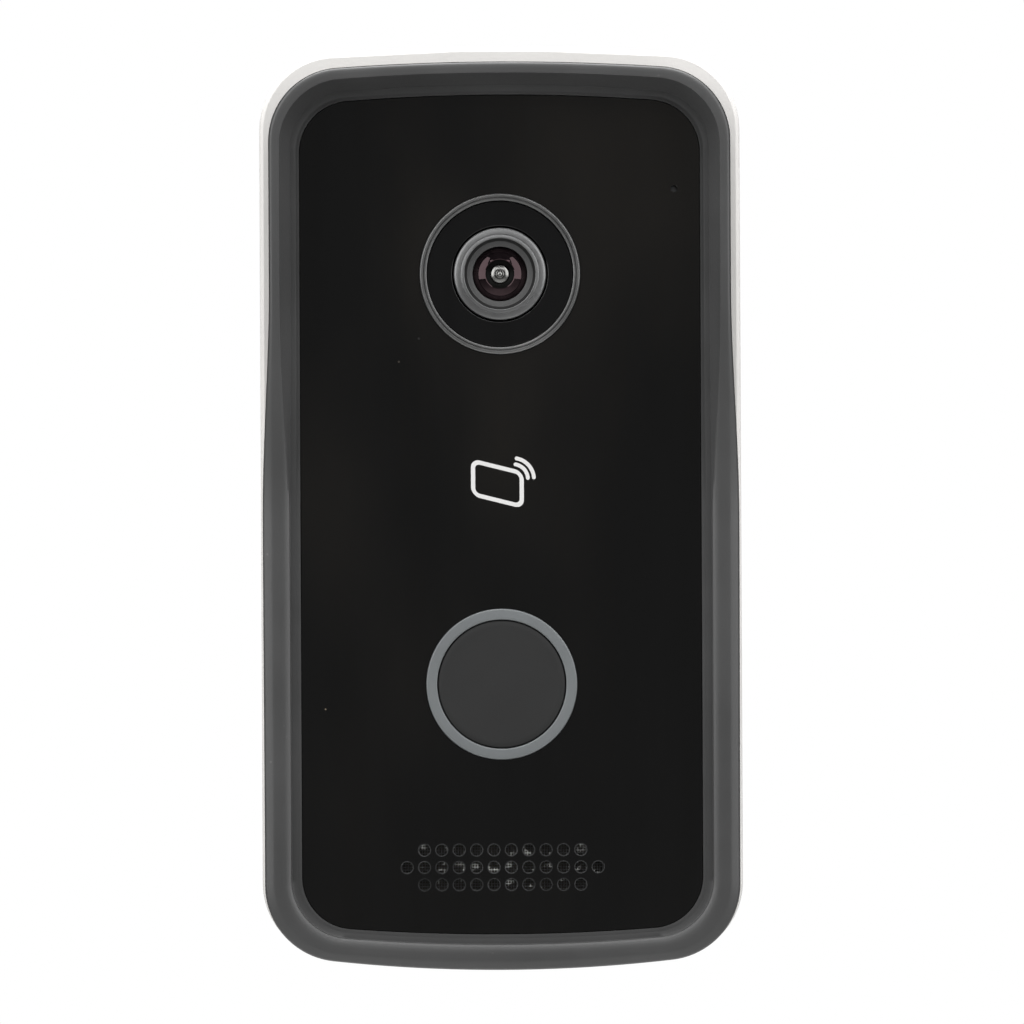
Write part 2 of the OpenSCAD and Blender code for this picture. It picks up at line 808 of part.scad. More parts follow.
module camera_board() {
    mid = (camera_board_high - camera_board_low) / 2;
    color(board_green) {
        layer(camera_board_back_d, camera_board_front_d) difference() {
            plate(0, camera_z + mid, 2 * camera_board_hw, camera_board_high + camera_board_low, 1);
            for (x = [-camera_screw_x, camera_screw_x])
                hole(x, camera_z, 0.9);
        }
        block(0, camera_z - 6.4, 9, 3.2, camera_board_back_d - 1.2, camera_board_back_d + eps);
    }
}

module camera_screws() {
    color(zinc) for (x = [-camera_screw_x, camera_screw_x]) {
        rod(x, camera_z, 0.7, camera_board_back_d - eps, camera_board_front_d + 3.5);
        rod(x, camera_z, 1.6, camera_board_back_d - 1.1, camera_board_back_d);
    }
}

module infrared_board() {
    color(board_green) layer(carrier_front_d + eps, carrier_front_d + 0.95) difference() {
        hole(0, camera_z, trim_dia / 2 - trim_w - 0.25);
        hole(0, camera_z, lens_r + 0.75);
    }
}

module infrared_leds() {
    r = (trim_dia / 2 - trim_w + lens_r) / 2 + 0.25;
    color("#3b2a4a") for (a = [0:45:315])
        rod(r * cos(a), camera_z + r * sin(a), 0.9, carrier_front_d + 0.95, carrier_front_d + 1.9);
}

module camera_ribbon() {
    t = 0.2;
    start_z = camera_z - camera_board_low - 0.1;
    drop_z = board_top_z - 2.6;
    near_d = camera_board_back_d - 0.6;
    color("#c9a24a") {
        block(0, (start_z + drop_z) / 2, 6, start_z - drop_z, near_d, near_d + t);
        block(0, drop_z, 6, t, near_d, board_back_d - 0.9);
        block(0, drop_z, 8, 3, board_back_d - 1.2, board_back_d);
    }
}

// ---------------------------------------------------------------- call button

module call_button() {
    front = glass_front_d + call_proud;
    flange_front_d = call_flange_back_d + call_flange_t;
    color("#353535") turned(0, call_z, [
        [0, stem_front_d + 0.05], [2.5, stem_front_d + 0.05], [2.5, call_flange_back_d],
        [call_flange_r, call_flange_back_d], [call_flange_r, flange_front_d],
        [call_r, flange_front_d], [call_r, front - 0.3], [call_r - 0.3, front],
        [call_r * 0.6, front - 0.06], [0, front - 0.12]
    ]);
}

module call_light_ring() {
    front = glass_front_d + ring_proud;
    seat_r = call_flange_r + 0.2;
    seat_d = call_flange_back_d + call_flange_t + 0.15;
    bevel = 0.25;
    color("#787d80") turned(0, call_z, [
        [seat_r, carrier_front_d + eps], [seat_r + 1.5, carrier_front_d + eps],
        [seat_r + 1.5, glass_back_d - 0.2], [ring_out_r, glass_back_d - 0.2],
        [ring_out_r, front - bevel], [ring_out_r - bevel, front], [ring_in_r + bevel, front],
        [ring_in_r, front - bevel], [ring_in_r, seat_d], [seat_r, seat_d]
    ]);
}

module call_switch() {
    top_d = carrier_back_d + 0.2;
    color("#151617") difference() {
        block(0, call_z, 6, 6, board_front_d, top_d);
        rod(0, call_z, 1.75 + running_gap, board_front_d + 0.3, top_d + 1);
    }
}

module call_switch_stem() {
    color("#c8c8c4")
        rod(0, call_z, 1.75, board_front_d + 0.3 + call_travel, stem_front_d);
}

module ring_leds() {
    r = call_flange_r + 0.95;
    color(white_ink) for (a = [45:90:315])
        block(r * cos(a), call_z + r * sin(a), 1.4, 1.1, board_front_d, board_front_d + 0.7);
}

// ---------------------------------------------------------------- speaker

mesh_t = 0.25;
mesh_gap = 0.1;
mesh_back_d = glass_back_d + mesh_pocket - mesh_gap - mesh_t;

module speaker_mesh() {
    color("#1a1a1a") layer(mesh_back_d, mesh_back_d + mesh_t)
        plate(0, speaker_z, speaker_w - 1.4, speaker_h - 1.4, 4);
}

module speaker_gasket() {
    color("#232323") difference() {
        union() {
            layer(carrier_front_d + eps, glass_back_d - 0.4)
                plate(0, speaker_z, speaker_w, speaker_h, 5);
            layer(glass_back_d - 0.5, mesh_back_d - eps)
                plate(0, speaker_z, speaker_w - 1.4, speaker_h - 1.4, 4);
        }
        layer(carrier_front_d - 1, mesh_back_d + 1)
            plate(0, speaker_z, speaker_w - 3.6, speaker_h - 3.6, 3.5);
    }
}

module speaker_frame() {
    back_d = carrier_front_d - 5.5;
    color("#3a3d40") difference() {
        layer(back_d, carrier_front_d)
            plate(0, speaker_z, speaker_w, speaker_h, 5);
        layer(back_d + 1, carrier_front_d + 1)
            plate(0, speaker_z, speaker_w - 3.2, speaker_h - 3.2, 3.6);
        rod(0, speaker_z, 5.2, back_d - 1, back_d + 2);
    }
}

module speaker_cone() {
    sheet_d = carrier_front_d - 1.2;
    color("#4a4338") union() {
        layer(sheet_d, sheet_d + 0.3)
            plate(0, speaker_z, speaker_w - 3.4, speaker_h - 3.4, 3.5);
        turned(0, speaker_z, [[0, sheet_d + 0.1], [3.6, sheet_d + 0.1], [3.4, sheet_d + 0.6],
                              [2.2, sheet_d + 0.9], [0, sheet_d + 1]]);
    }
}

module speaker_voice_coil() {
    color("#b87333") turned(0, speaker_z, [
        [3.3, carrier_front_d - 4.2], [3.8, carrier_front_d - 4.2],
        [3.8, carrier_front_d - 1.2], [3.3, carrier_front_d - 1.2]
    ]);
}

module speaker_magnet() {
    back_d = carrier_front_d - 7.2;
    front_d = carrier_front_d - 2.4;
    color("#8d9196") turned(0, speaker_z, [
        [0, back_d], [5.1, back_d], [5.1, front_d], [4.2, front_d], [4.2, back_d + 1],
        [2.9, back_d + 1], [2.9, front_d], [0, front_d]
    ]);
}

// ---------------------------------------------------------------- microphone

module microphone() {
    color(zinc)
        rod(mic_x, mic_z, 2.5, carrier_back_d - 0.4, carrier_front_d - 0.7);
}

module microphone_boot() {
    color("#1b1b1b") turned(mic_x, mic_z, [
        [2.55, carrier_back_d - 0.6], [3.4, carrier_back_d - 0.6], [3.4, carrier_front_d],
        [1.4, carrier_front_d], [1.4, glass_back_d - 0.05], [0.5, glass_back_d - 0.05],
        [0.5, carrier_front_d - 0.6], [2.55, carrier_front_d - 0.6]
    ]);
}

// ---------------------------------------------------------------- card reader

reader_w = 46;
reader_h = 22;
reader_back_d = carrier_front_d + 0.65;

module reader_board() {
    color(board_green) layer(reader_back_d, reader_back_d + 0.8)
        plate(0, reader_z, reader_w, reader_h, 1.5);
}

module reader_coil() {
    color("#b87333") for (i = [0:3])
        layer(reader_back_d + 0.8, reader_back_d + 0.9) difference() {
            plate(0, reader_z, reader_w - 2 - 3 * i, reader_h - 2 - 3 * i, 1.2);
            plate(0, reader_z, reader_w - 3.4 - 3 * i, reader_h - 3.4 - 3 * i, 0.8);
        }
}

// ---------------------------------------------------------------- main board

module main_board() {
    color(board_green) layer(board_back_d, board_front_d) difference() {
        plate(0, (board_low_z + board_top_z) / 2, 2 * board_hw, board_top_z - board_low_z, 1.5);
        for (p = board_screw_places)
            hole(p.x, p.y, 1.1);
    }
}

module board_screws() {
    color(zinc) for (p = board_screw_places) {
        rod(p.x, p.y, 0.8, board_back_d - eps, carrier_back_d + 0.6);
        rod(p.x, p.y, 1.8, board_back_d - 1.1, board_back_d);
    }
}

chip_x = 17.5;
chip_z = bay_low_z - 15;

module processor() {
    color("#1d1e20")
        block(chip_x, chip_z, 9.5, 9.5, board_back_d - 1.3, board_back_d);
}

module shield_can() {
    color(zinc) difference() {
        block(chip_x, chip_z, 12, 20, board_back_d - 2.6, board_back_d);
        block(chip_x, chip_z, 11.4, 19.4, board_back_d - 2.3, board_back_d + 1);
    }
}

module wifi_module() {
    color("#3c5a78") union() {
        block(-chip_x, chip_z, 12, 18, board_back_d - 0.8, board_back_d);
        block(-chip_x, chip_z - 1.5, 10.4, 13, board_back_d - 2.4, board_back_d - 0.8 + eps);
    }
}

module wifi_antenna() {
    x = rear_hw - wall - 0.17;
    color("#1c1c1c")
        block(x, chip_z + 9, 0.3, 28, floor_d + 0.6, joint_d - 2.6);
}

module door_relay() {
    color("#26476e")
        block(-4.5, chip_z + 0.5, 10, 15.2, board_back_d - 8.6, board_back_d);
}

module capacitors() {
    color("#2b3442") for (z = [-5, 5])
        rod(5.6, chip_z + 0.5 + z, 4, board_back_d - 7.8, board_back_d);
}

module network_jack() {
    color("#202224") difference() {
        block(jack_x, bay_mid_z, jack_w, jack_h, jack_back_d, board_back_d);
        block(jack_x, bay_mid_z, 11.8, 8.2, jack_back_d - 1, jack_back_d + 10);
        block(jack_x, bay_mid_z - 5.1, 4.4, 2.2, jack_back_d - 1, jack_back_d + 6);
    }
}

module jack_contacts() {
    color(gold) for (i = [0:7])
        block(jack_x + (i - 3.5) * 1.02, bay_mid_z + 3.4, 0.4, 0.7, jack_back_d + 2.5, jack_back_d + 10);
}

function term_z(i) = bay_mid_z + (i - (term_ways - 1) / 2) * term_pitch;

module terminal_block() {
    color("#2f8a4a") difference() {
        block(term_x, bay_mid_z, term_w, term_ways * term_pitch + 0.6, term_back_d, board_back_d);
        for (i = [0:term_ways - 1]) {
            block(term_x - 1.9, term_z(i), 2.4, 2.4, term_back_d - 1, term_back_d + 6);
            rod(term_x + 1.9, term_z(i), 1.25, term_back_d - 1, term_back_d + 3);
        }
    }
}

module terminal_screws() {
    color(zinc) for (i = [0:term_ways - 1]) difference() {
        rod(term_x + 1.9, term_z(i), 1.2, term_back_d + 0.6, term_back_d + 3);
        block(term_x + 1.9, term_z(i), 3, 0.4, term_back_d, term_back_d + 1.1);
    }
}

module push_housing(z, back_d) {
    difference() {
        block(push_x, z, 6, 6, back_d, board_back_d);
        children();
    }
}

module reset_switch() {
    color("#151617") push_housing(reset_z, reset_back_d)
        rod(push_x, reset_z, reset_r + running_gap, reset_back_d - 1, board_back_d - 0.5);
}

module reset_stem() {
    color("#c8c8c4")
        rod(push_x, reset_z, reset_r, reset_back_d - 1.6, board_back_d - 0.6 - reset_travel);
}

module tamper_switch() {
    color("#151617") push_housing(tamper_z, tamper_back_d)
        rod(push_x, tamper_z, tamper_r + running_gap, tamper_back_d - 1, board_back_d - 0.8);
}

module tamper_plunger() {
    color("#e0ded8")
        rod(push_x, tamper_z, tamper_r, 0.1, board_back_d - 1);
}

module bay_seal() {
    color("#232323") layer(board_back_d - seal_t, board_back_d) difference() {
        plate(0, bay_mid_z, 2 * (bay_hw + bay_wall), bay_top_z - bay_low_z + 2 * bay_wall, 0.5);
        plate(0, bay_mid_z, 2 * bay_hw, bay_top_z - bay_low_z, 0.5);
    }
}

wall_bracket();
rear_housing();
housing_gasket();
front_frame();
panel_carrier();
panel_tape();
front_glass();
reader_icon();
camera_trim_ring();
camera_window();
lens_barrel();
lens_front_element();
lens_inner_elements();
lens_holder();
filter_slider();
filter_glasses();
filter_coil();
image_sensor();
camera_board();
camera_screws();
infrared_board();
infrared_leds();
call_button();
call_light_ring();
call_switch();
call_switch_stem();
ring_leds();
speaker_mesh();
speaker_gasket();
speaker_frame();
speaker_cone();
speaker_voice_coil();
speaker_magnet();
microphone();
microphone_boot();
reader_board();
reader_coil();
main_board();
board_screws();
processor();
shield_can();
wifi_module();
wifi_antenna();
door_relay();
capacitors();
network_jack();
jack_contacts();
terminal_block();
terminal_screws();
reset_switch();
reset_stem();
tamper_switch();
tamper_plunger();
camera_ribbon();
bay_seal();
housing_screws();
lock_screw();
rating_label();
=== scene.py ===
"""Looks of a video door station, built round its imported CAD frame.

The wall is the plane y = 0, the front faces -Y and z points up. Depths are
distances in front of the wall. The sizes in the dataclasses are millimetres and
the meshes are in metres.
"""

import json
import logging
import math
from dataclasses import dataclass
from enum import Enum
from typing import Any, Callable, Optional, Sequence, Union

import bmesh
import bpy
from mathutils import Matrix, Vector

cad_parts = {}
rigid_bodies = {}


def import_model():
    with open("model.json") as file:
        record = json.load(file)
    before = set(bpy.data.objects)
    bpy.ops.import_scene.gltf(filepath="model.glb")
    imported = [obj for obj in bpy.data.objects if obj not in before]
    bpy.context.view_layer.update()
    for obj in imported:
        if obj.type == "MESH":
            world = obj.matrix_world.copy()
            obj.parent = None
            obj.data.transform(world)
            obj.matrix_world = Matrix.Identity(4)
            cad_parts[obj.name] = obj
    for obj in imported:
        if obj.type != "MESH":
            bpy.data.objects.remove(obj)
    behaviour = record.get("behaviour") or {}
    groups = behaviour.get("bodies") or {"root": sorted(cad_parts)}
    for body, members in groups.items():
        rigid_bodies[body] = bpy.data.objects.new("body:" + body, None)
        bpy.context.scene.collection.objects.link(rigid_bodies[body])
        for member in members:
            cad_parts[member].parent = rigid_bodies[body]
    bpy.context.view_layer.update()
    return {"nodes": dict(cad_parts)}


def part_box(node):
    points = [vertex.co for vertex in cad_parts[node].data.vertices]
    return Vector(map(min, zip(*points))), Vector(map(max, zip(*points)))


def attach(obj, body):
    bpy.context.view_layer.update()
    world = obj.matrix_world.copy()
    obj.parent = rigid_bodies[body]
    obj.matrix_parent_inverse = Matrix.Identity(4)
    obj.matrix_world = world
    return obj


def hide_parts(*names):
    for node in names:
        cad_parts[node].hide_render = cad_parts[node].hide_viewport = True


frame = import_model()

MM = 0.001
MERGE_MM = 0.001
LOFT_MERGE_MM = 0.0005
FLAT_ANGLE = 0.8
SHELF_MM = 2.0
# Heights, in metres, over which the painted shade at the foot of the glass fades out.
FOOT_SHADE_FADE = (-0.05, 0.05)
LOG = logging.getLogger("door_station")

Flat = tuple[float, float]
Point = tuple[float, float, float]
Colour = tuple[float, float, float]
Piece = bpy.types.Object
Material = bpy.types.Material


class Body(Enum):
    """The moving bodies of the frame."""

    BRACKET = "bracket"
    UNIT = "unit"
    BUTTON = "button"
    SLIDER = "slider"
    RESET = "reset"
    TAMPER = "tamper"
    LOCK = "lock"


class Ends(Enum):
    """How the first and the last ring of a loft are closed."""

    JOINED = "joined"
    CAPPED = "capped"
    POLES = "poles"


class Drawn(Enum):
    """Direction in which a metal surface is drawn or brushed, as noise scales per metre."""

    ACROSS = (60.0, 3000.0, 3000.0)
    UPRIGHT = (3000.0, 3000.0, 60.0)
    NONE = (1500.0, 1500.0, 1500.0)


# ------------------------------------------------------------------ shader graphs


def sign(operation: str, swapped: bool = False) -> Callable[["Wire", "Term"], "Wire"]:
    """Makes the method of one arithmetic sign.

    Args:
        operation: Operation of the Math node.
        swapped: Whether the Wire is the second term.

    Returns:
        The method.
    """

    def method(wire: "Wire", other: "Term") -> "Wire":
        """Adds one Math node with two terms."""
        terms = (other, wire) if swapped else (wire, other)
        return wire.graph.node("ShaderNodeMath", {"operation": operation}, dict(enumerate(terms)))

    return method


class Wire:
    """A shader socket that takes part in sums, so that a formula adds its Math nodes."""

    def __init__(self, graph: "Graph", socket: bpy.types.NodeSocket) -> None:
        """Keeps the graph and one output socket of it."""
        self.graph = graph
        self.socket = socket

    __add__ = sign("ADD")
    __radd__ = sign("ADD", True)
    __sub__ = sign("SUBTRACT")
    __rsub__ = sign("SUBTRACT", True)
    __mul__ = sign("MULTIPLY")
    __rmul__ = sign("MULTIPLY", True)


Term = Union[Wire, float]


class Graph:
    """One material and its nodes."""

    def __init__(self, name: str) -> None:
        """Makes an empty material with one Principled shader.

        Args:
            name: Name of the material.
        """
        self.material = bpy.data.materials.new(name)
        self.material.use_nodes = True
        self.tree = self.material.node_tree
        self.shader = self.tree.nodes["Principled BSDF"]

    def node(
        self,
        kind: str,
        settings: Optional[dict[str, Any]] = None,
        inputs: Optional[dict[Union[str, int], Any]] = None,
        output: Union[str, int] = 0,
    ) -> Wire:
        """Adds one node.

        Args:
            kind: Type of the node.
            settings: Attributes of the node, which are set first.
            inputs: Value or Wire of each socket, by name or place.
            output: Socket to hand back, by name or place.

        Returns:
            The output socket as a Wire.
        """
        made = self.tree.nodes.new(kind)
        for key, value in (settings or {}).items():
            setattr(made, key, value)
        for key, value in (inputs or {}).items():
            self.feed(made.inputs[key], value)
        return Wire(self, made.outputs[output])

    def feed(self, socket: bpy.types.NodeSocket, value: Any) -> None:
        """Links a Wire to a socket, or sets the socket's own value."""
        if isinstance(value, Wire):
            self.tree.links.new(value.socket, socket)
        else:
            socket.default_value = value

    def place(self, turn: Point = (0.0, 0.0, 0.0), scale: Point = (1.0, 1.0, 1.0)) -> Wire:
        """Object coordinates in metres, turned and scaled."""
        coords = self.node("ShaderNodeTexCoord", output="Object")
        return self.node(
            "ShaderNodeMapping", inputs={"Vector": coords, "Rotation": turn, "Scale": scale}
        )

    def height(self) -> Wire:
        """Z of the object coordinates, in metres."""
        coords = self.node("ShaderNodeTexCoord", output="Object")
        return self.node("ShaderNodeSeparateXYZ", inputs={0: coords}, output="Z")

    def noise(self, at: Wire, scale: float, detail: float = 3.0, rough: float = 0.5) -> Wire:
        """Soft noise from 0 to 1."""
        return self.node(
            "ShaderNodeTexNoise",
            inputs={"Vector": at, "Scale": scale, "Detail": detail, "Roughness": rough},
        )

    def cells(self, at: Wire, scale: float, output: str = "Distance") -> Wire:
        """Cell pattern."""
        return self.node("ShaderNodeTexVoronoi", None, {"Vector": at, "Scale": scale}, output)

    def patches(self, at: Wire, scale: float) -> Wire:
        """Cells of one even grey each, from 0 to 1."""
        return self.node("ShaderNodeRGBToBW", inputs={0: self.cells(at, scale, "Color")})

    def stripes(self, at: Wire, way: str, scale: float, distortion: float = 0.0) -> Wire:
        """Soft stripes across one axis, X or Z."""
        return self.node(
            "ShaderNodeTexWave",
            {"wave_type": "BANDS", "bands_direction": way},
            {"Vector": at, "Scale": scale, "Distortion": distortion},
        )

    def band(self, value: Wire, low: float, high: float, to: Flat = (0.0, 1.0)) -> Wire:
        """Rises from to[0] to to[1] as value goes from low to high, and stays there."""
        return self.node(
            "ShaderNodeMapRange",
            {"interpolation_type": "SMOOTHSTEP"},
            {"Value": value, "From Min": low, "From Max": high, "To Min": to[0], "To Max": to[1]},
        )

    def blend(self, share: Term, first: Any, second: Any) -> Wire:
        """Colour mix of two colours or Wires."""
        return self.node(
            "ShaderNodeMix",
            {"data_type": "RGBA"},
            {0: share, 6: rgba(first), 7: rgba(second)},
            2,
        )

    def bump(self, height: Wire, depth_mm: float, under: Optional[Wire] = None) -> Wire:
        """Normal of a bumped surface.

        Args:
            height: Height from 0 to 1.
            depth_mm: Depth of the relief in millimetres.
            under: Normal that the relief lies on.

        Returns:
            The normal.
        """
        inputs: dict[Union[str, int], Any] = {
            "Strength": 1.0, "Distance": depth_mm * MM, "Height": height
        }
        if under is not None:
            inputs["Normal"] = under
        return self.node("ShaderNodeBump", inputs=inputs)

    def dress(self, sockets: dict[str, Any]) -> Material:
        """Sets the shader's own sockets and hands the material back."""
        for key, value in sockets.items():
            socket = self.shader.inputs[key]
            self.feed(socket, rgba(value) if socket.type == "RGBA" else value)
        return self.material


def rgba(colour: Any) -> Any:
    """A colour with its alpha, or the Wire that it was."""
    return (*colour, 1.0) if isinstance(colour, tuple) and len(colour) == 3 else colour


def shade(colour: Colour, factor: float) -> Colour:
    """A colour made lighter or darker."""
    return tuple(min(1.0, part * factor) for part in colour)


# ------------------------------------------------------------------ finishes


@dataclass(frozen=True)
class Moulded:
    """Moulded plastic or rubber: eroded grain, slow mottling, faint rubs and dust.

    Grain scales are per metre.
    """

    name: str
    colour: Colour
    rough: float = 0.42
    grain: float = 2400.0
    grain_mm: float = 0.012
    mottle: float = 0.07
    dust: float = 0.0
    glow: float = 0.0
    specular: float = 0.5

    def build(self) -> Material:
        """Makes the material."""
        graph = Graph(self.name)
        at = graph.place()
        slow = graph.noise(at, 70.0, 4.0)
        fine = graph.noise(at, self.grain, 2.0, 0.6)
        rubs = graph.noise(graph.place(scale=(1.0, 1.0, 0.12)), 900.0, 2.0)
        tone = graph.blend(
            graph.band(slow, 0.3, 0.7),
            shade(self.colour, 1 - self.mottle),
            shade(self.colour, 1 + self.mottle),
        )
        specks = graph.band(graph.cells(at, 260.0), 0.055, 0.03) * graph.band(slow, 0.4, 0.6)
        tone = graph.blend(specks * self.dust, tone, (0.35, 0.34, 0.33))
        worn = graph.band(rubs, 0.62, 0.8) * 0.05
        rough = self.rough + (slow - 0.5) * 0.14 + (fine - 0.5) * 0.1 - worn
        sockets = {
            "Base Color": tone,
            "Roughness": rough,
            "Specular IOR Level": self.specular,
            "Normal": graph.bump(fine, self.grain_mm, graph.bump(slow, self.grain_mm * 2)),
        }
        if self.glow:
            sockets["Subsurface Weight"] = self.glow
            sockets["Subsurface Radius"] = (0.0008, 0.0008, 0.0008)
        return graph.dress(sockets)


@dataclass(frozen=True)
class Metal:
    """Drawn, plated or machined metal with fine lines, cloudy plating and stains."""

    name: str
    colour: Colour
    rough: float = 0.35
    drawn: Drawn = Drawn.NONE
    spangle: float = 0.0
    line_mm: float = 0.004
    metallic: float = 1.0

    def build(self) -> Material:
        """Makes the material."""
        graph = Graph(self.name)
        at = graph.place()
        lines = graph.noise(graph.place(scale=self.drawn.value), 1.0, 3.0, 0.65)
        cloud = graph.noise(at, 110.0, 4.0)
        flake = graph.patches(at, 240.0)
        share = graph.band(cloud, 0.3, 0.7) * 0.6 + lines * 0.25 + flake * self.spangle
        tone = graph.blend(share, shade(self.colour, 0.8), shade(self.colour, 1.15))
        stain = graph.band(graph.noise(at, 320.0, 5.0), 0.66, 0.8) * 0.35
        tone = graph.blend(stain, tone, shade(self.colour, 0.45))
        rough = self.rough + (lines - 0.5) * 0.2 + (cloud - 0.5) * 0.16 + flake * self.spangle * 0.2
        return graph.dress({
            "Base Color": tone,
            "Metallic": self.metallic,
            "Roughness": rough,
            "Normal": graph.bump(lines, self.line_mm),
        })


@dataclass(frozen=True)
class Gloss:
    """Polished black face under a thin uneven haze, partly real and partly painted cloudy
    reflection, with specks of dust and wipe marks, and painted shade that darkens it towards the
    foot when its foot shade level is below one.
    """

    name: str
    colour: Colour
    haze_and_reflection: Colour = (0.012, 0.0115, 0.0105)
    rough: float = 0.045
    specks: float = 1.0
    foot_shade_level: float = 1.0

    def build(self) -> Material:
        """Makes the material."""
        graph = Graph(self.name)
        at = graph.place()
        clouds = graph.noise(graph.place((0.0, 0.6, 0.0), (1.0, 1.0, 0.55)), 34.0, 2.5)
        wipes = graph.noise(graph.place((0.0, 0.9, 0.0), (12.0, 1.0, 1.0)), 22.0, 4.0, 0.6)
        # The clouds are partly real haze and partly painted cloudy reflection on the glass; the
        # wipes are real wipe marks.
        haze_and_reflection = graph.band(clouds, 0.36, 0.72) * 0.8 + graph.band(wipes, 0.5, 0.75) * 0.2
        # Painted shade: the haze fades towards the foot of the glass, so the glass is darker
        # towards the bottom.
        haze_and_reflection = haze_and_reflection * graph.band(graph.height(), *FOOT_SHADE_FADE, (self.foot_shade_level, 1.0))
        tone = graph.blend(haze_and_reflection, self.colour, self.haze_and_reflection)
        spots = graph.band(graph.cells(at, 75.0), 0.016, 0.009)
        chosen = graph.band(graph.noise(at, 47.0, 1.0), 0.5, 0.56)
        tone = graph.blend(spots * chosen * self.specks, tone, (0.16, 0.13, 0.09))
        rough = self.rough + haze_and_reflection * 0.05 + spots * 0.4
        return graph.dress({
            "Base Color": tone,
            "Roughness": rough,
            "Coat Weight": graph.band(wipes, 0.8, 0.4, (0.25, 0.5)),
            "Coat Roughness": 0.02,
            "Normal": graph.bump(graph.noise(at, 60.0, 2.0), 0.006),
        })


@dataclass(frozen=True)
class Coated:
    """Lens or filter glass with a coloured reflection, seen through by a share. Its base colour
    also carries a painted reflection: it is tinted towards the reflection's colour at grazing
    angles and in noise patches.
    """

    name: str
    colour: Colour
    tint: Colour
    alpha: float = 0.5
    ior: float = 1.9
    rough: float = 0.02
    painted_reflection: float = 0.5

    def build(self) -> Material:
        """Makes the material."""
        graph = Graph(self.name)
        at = graph.place()
        haze_and_reflection = graph.noise(at, 420.0, 3.0)
        rim = graph.node("ShaderNodeLayerWeight", inputs={"Blend": 0.3}, output="Facing")
        # Painted reflection: the base colour drifts to the reflection's tint at grazing angles and
        # in noise patches.
        tone = graph.blend((graph.band(haze_and_reflection, 0.4, 0.8) + rim) * self.painted_reflection, self.colour, self.tint)
        return graph.dress({
            "Base Color": tone,
            "Roughness": self.rough + haze_and_reflection * 0.02,
            "Alpha": self.alpha + rim * (1 - self.alpha) * 0.4,
            "IOR": self.ior,
            "Specular Tint": self.tint,
        })


@dataclass(frozen=True)
class Laminate:
    """Circuit board: solder mask over copper lines, with bare pads."""

    name: str
    mask: Colour
    copper: Colour
    pitch: float = 620.0

    def build(self) -> Material:
        """Makes the material."""
        graph = Graph(self.name)
        at = graph.place()
        upright, across = (
            graph.band(graph.stripes(at, way, self.pitch / 6.0), 0.62, 0.72) for way in ("X", "Z")
        )
        choose = graph.band(graph.patches(at, 190.0), 0.48, 0.5)
        lines = upright * choose + across * (1 - choose)
        pads = graph.band(graph.cells(at, self.pitch), 0.2, 0.16) * graph.band(
            graph.noise(at, 120.0, 2.0), 0.56, 0.6
        )
        weave = graph.noise(at, 2600.0, 2.0)
        tone = graph.blend(lines * 0.5, self.mask, shade(self.mask, 1.9))
        tone = graph.blend(pads, tone, self.copper)
        return graph.dress({
            "Base Color": tone,
            "Metallic": pads * 0.9,
            "Roughness": 0.34 + weave * 0.12 - pads * 0.08,
            "Coat Weight": 0.3,
            "Normal": graph.bump(lines + pads * 0.6, 0.02, graph.bump(weave, 0.004)),
        })


@dataclass(frozen=True)
class Woven:
    """Fine woven or felted sheet with a diagonal thread pattern and, where a glint colour is given,
    patches of painted glint in its base colour.
    """

    name: str
    colour: Colour
    pitch: float = 380.0
    rough: float = 0.7
    thread_mm: float = 0.03
    painted_glint: Optional[Colour] = None

    def build(self) -> Material:
        """Makes the material."""
        graph = Graph(self.name)
        at = graph.place()
        weave = graph.stripes(at, "X", self.pitch, 0.4) * graph.stripes(at, "Z", self.pitch, 0.4)
        fuzz = graph.noise(at, 5000.0, 2.0)
        share = weave * 0.7 + fuzz * 0.3
        tone = graph.blend(share, shade(self.colour, 0.55), shade(self.colour, 1.3))
        if self.painted_glint:
            # Painted glint: bright noise patches in the base colour stand for glints on the wires.
            patches = graph.band(graph.noise(at, 800.0, 1.0), 0.58, 0.72)
            tone = graph.blend(patches, tone, self.painted_glint)
        return graph.dress({
            "Base Color": tone,
            "Roughness": self.rough + (fuzz - 0.5) * 0.2,
            "Normal": graph.bump(weave + fuzz * 0.3, self.thread_mm),
        })


@dataclass(frozen=True)
class Printed:
    """Flat ink or label stock with faint unevenness and printed rules, without any text."""

    name: str
    colour: Colour
    rough: float = 0.5
    rules: float = 0.0

    def build(self) -> Material:
        """Makes the material."""
        graph = Graph(self.name)
        at = graph.place()
        film = graph.noise(at, 1500.0, 3.0)
        slow = graph.noise(at, 200.0, 2.0)
        share = film * 0.5 + slow * 0.5
        tone = graph.blend(share, shade(self.colour, 0.94), shade(self.colour, 1.04))
        if self.rules:
            rows = graph.stripes(at, "Z", 95.0)
            tone = graph.blend(graph.band(rows, 0.9, 0.95) * self.rules, tone, (0.3, 0.3, 0.31))
        return graph.dress({
            "Base Color": tone,
            "Roughness": self.rough + (film - 0.5) * 0.16,
            "Normal": graph.bump(film, 0.006),
        })


Finish = Union[Moulded, Metal, Gloss, Coated, Laminate, Woven, Printed]

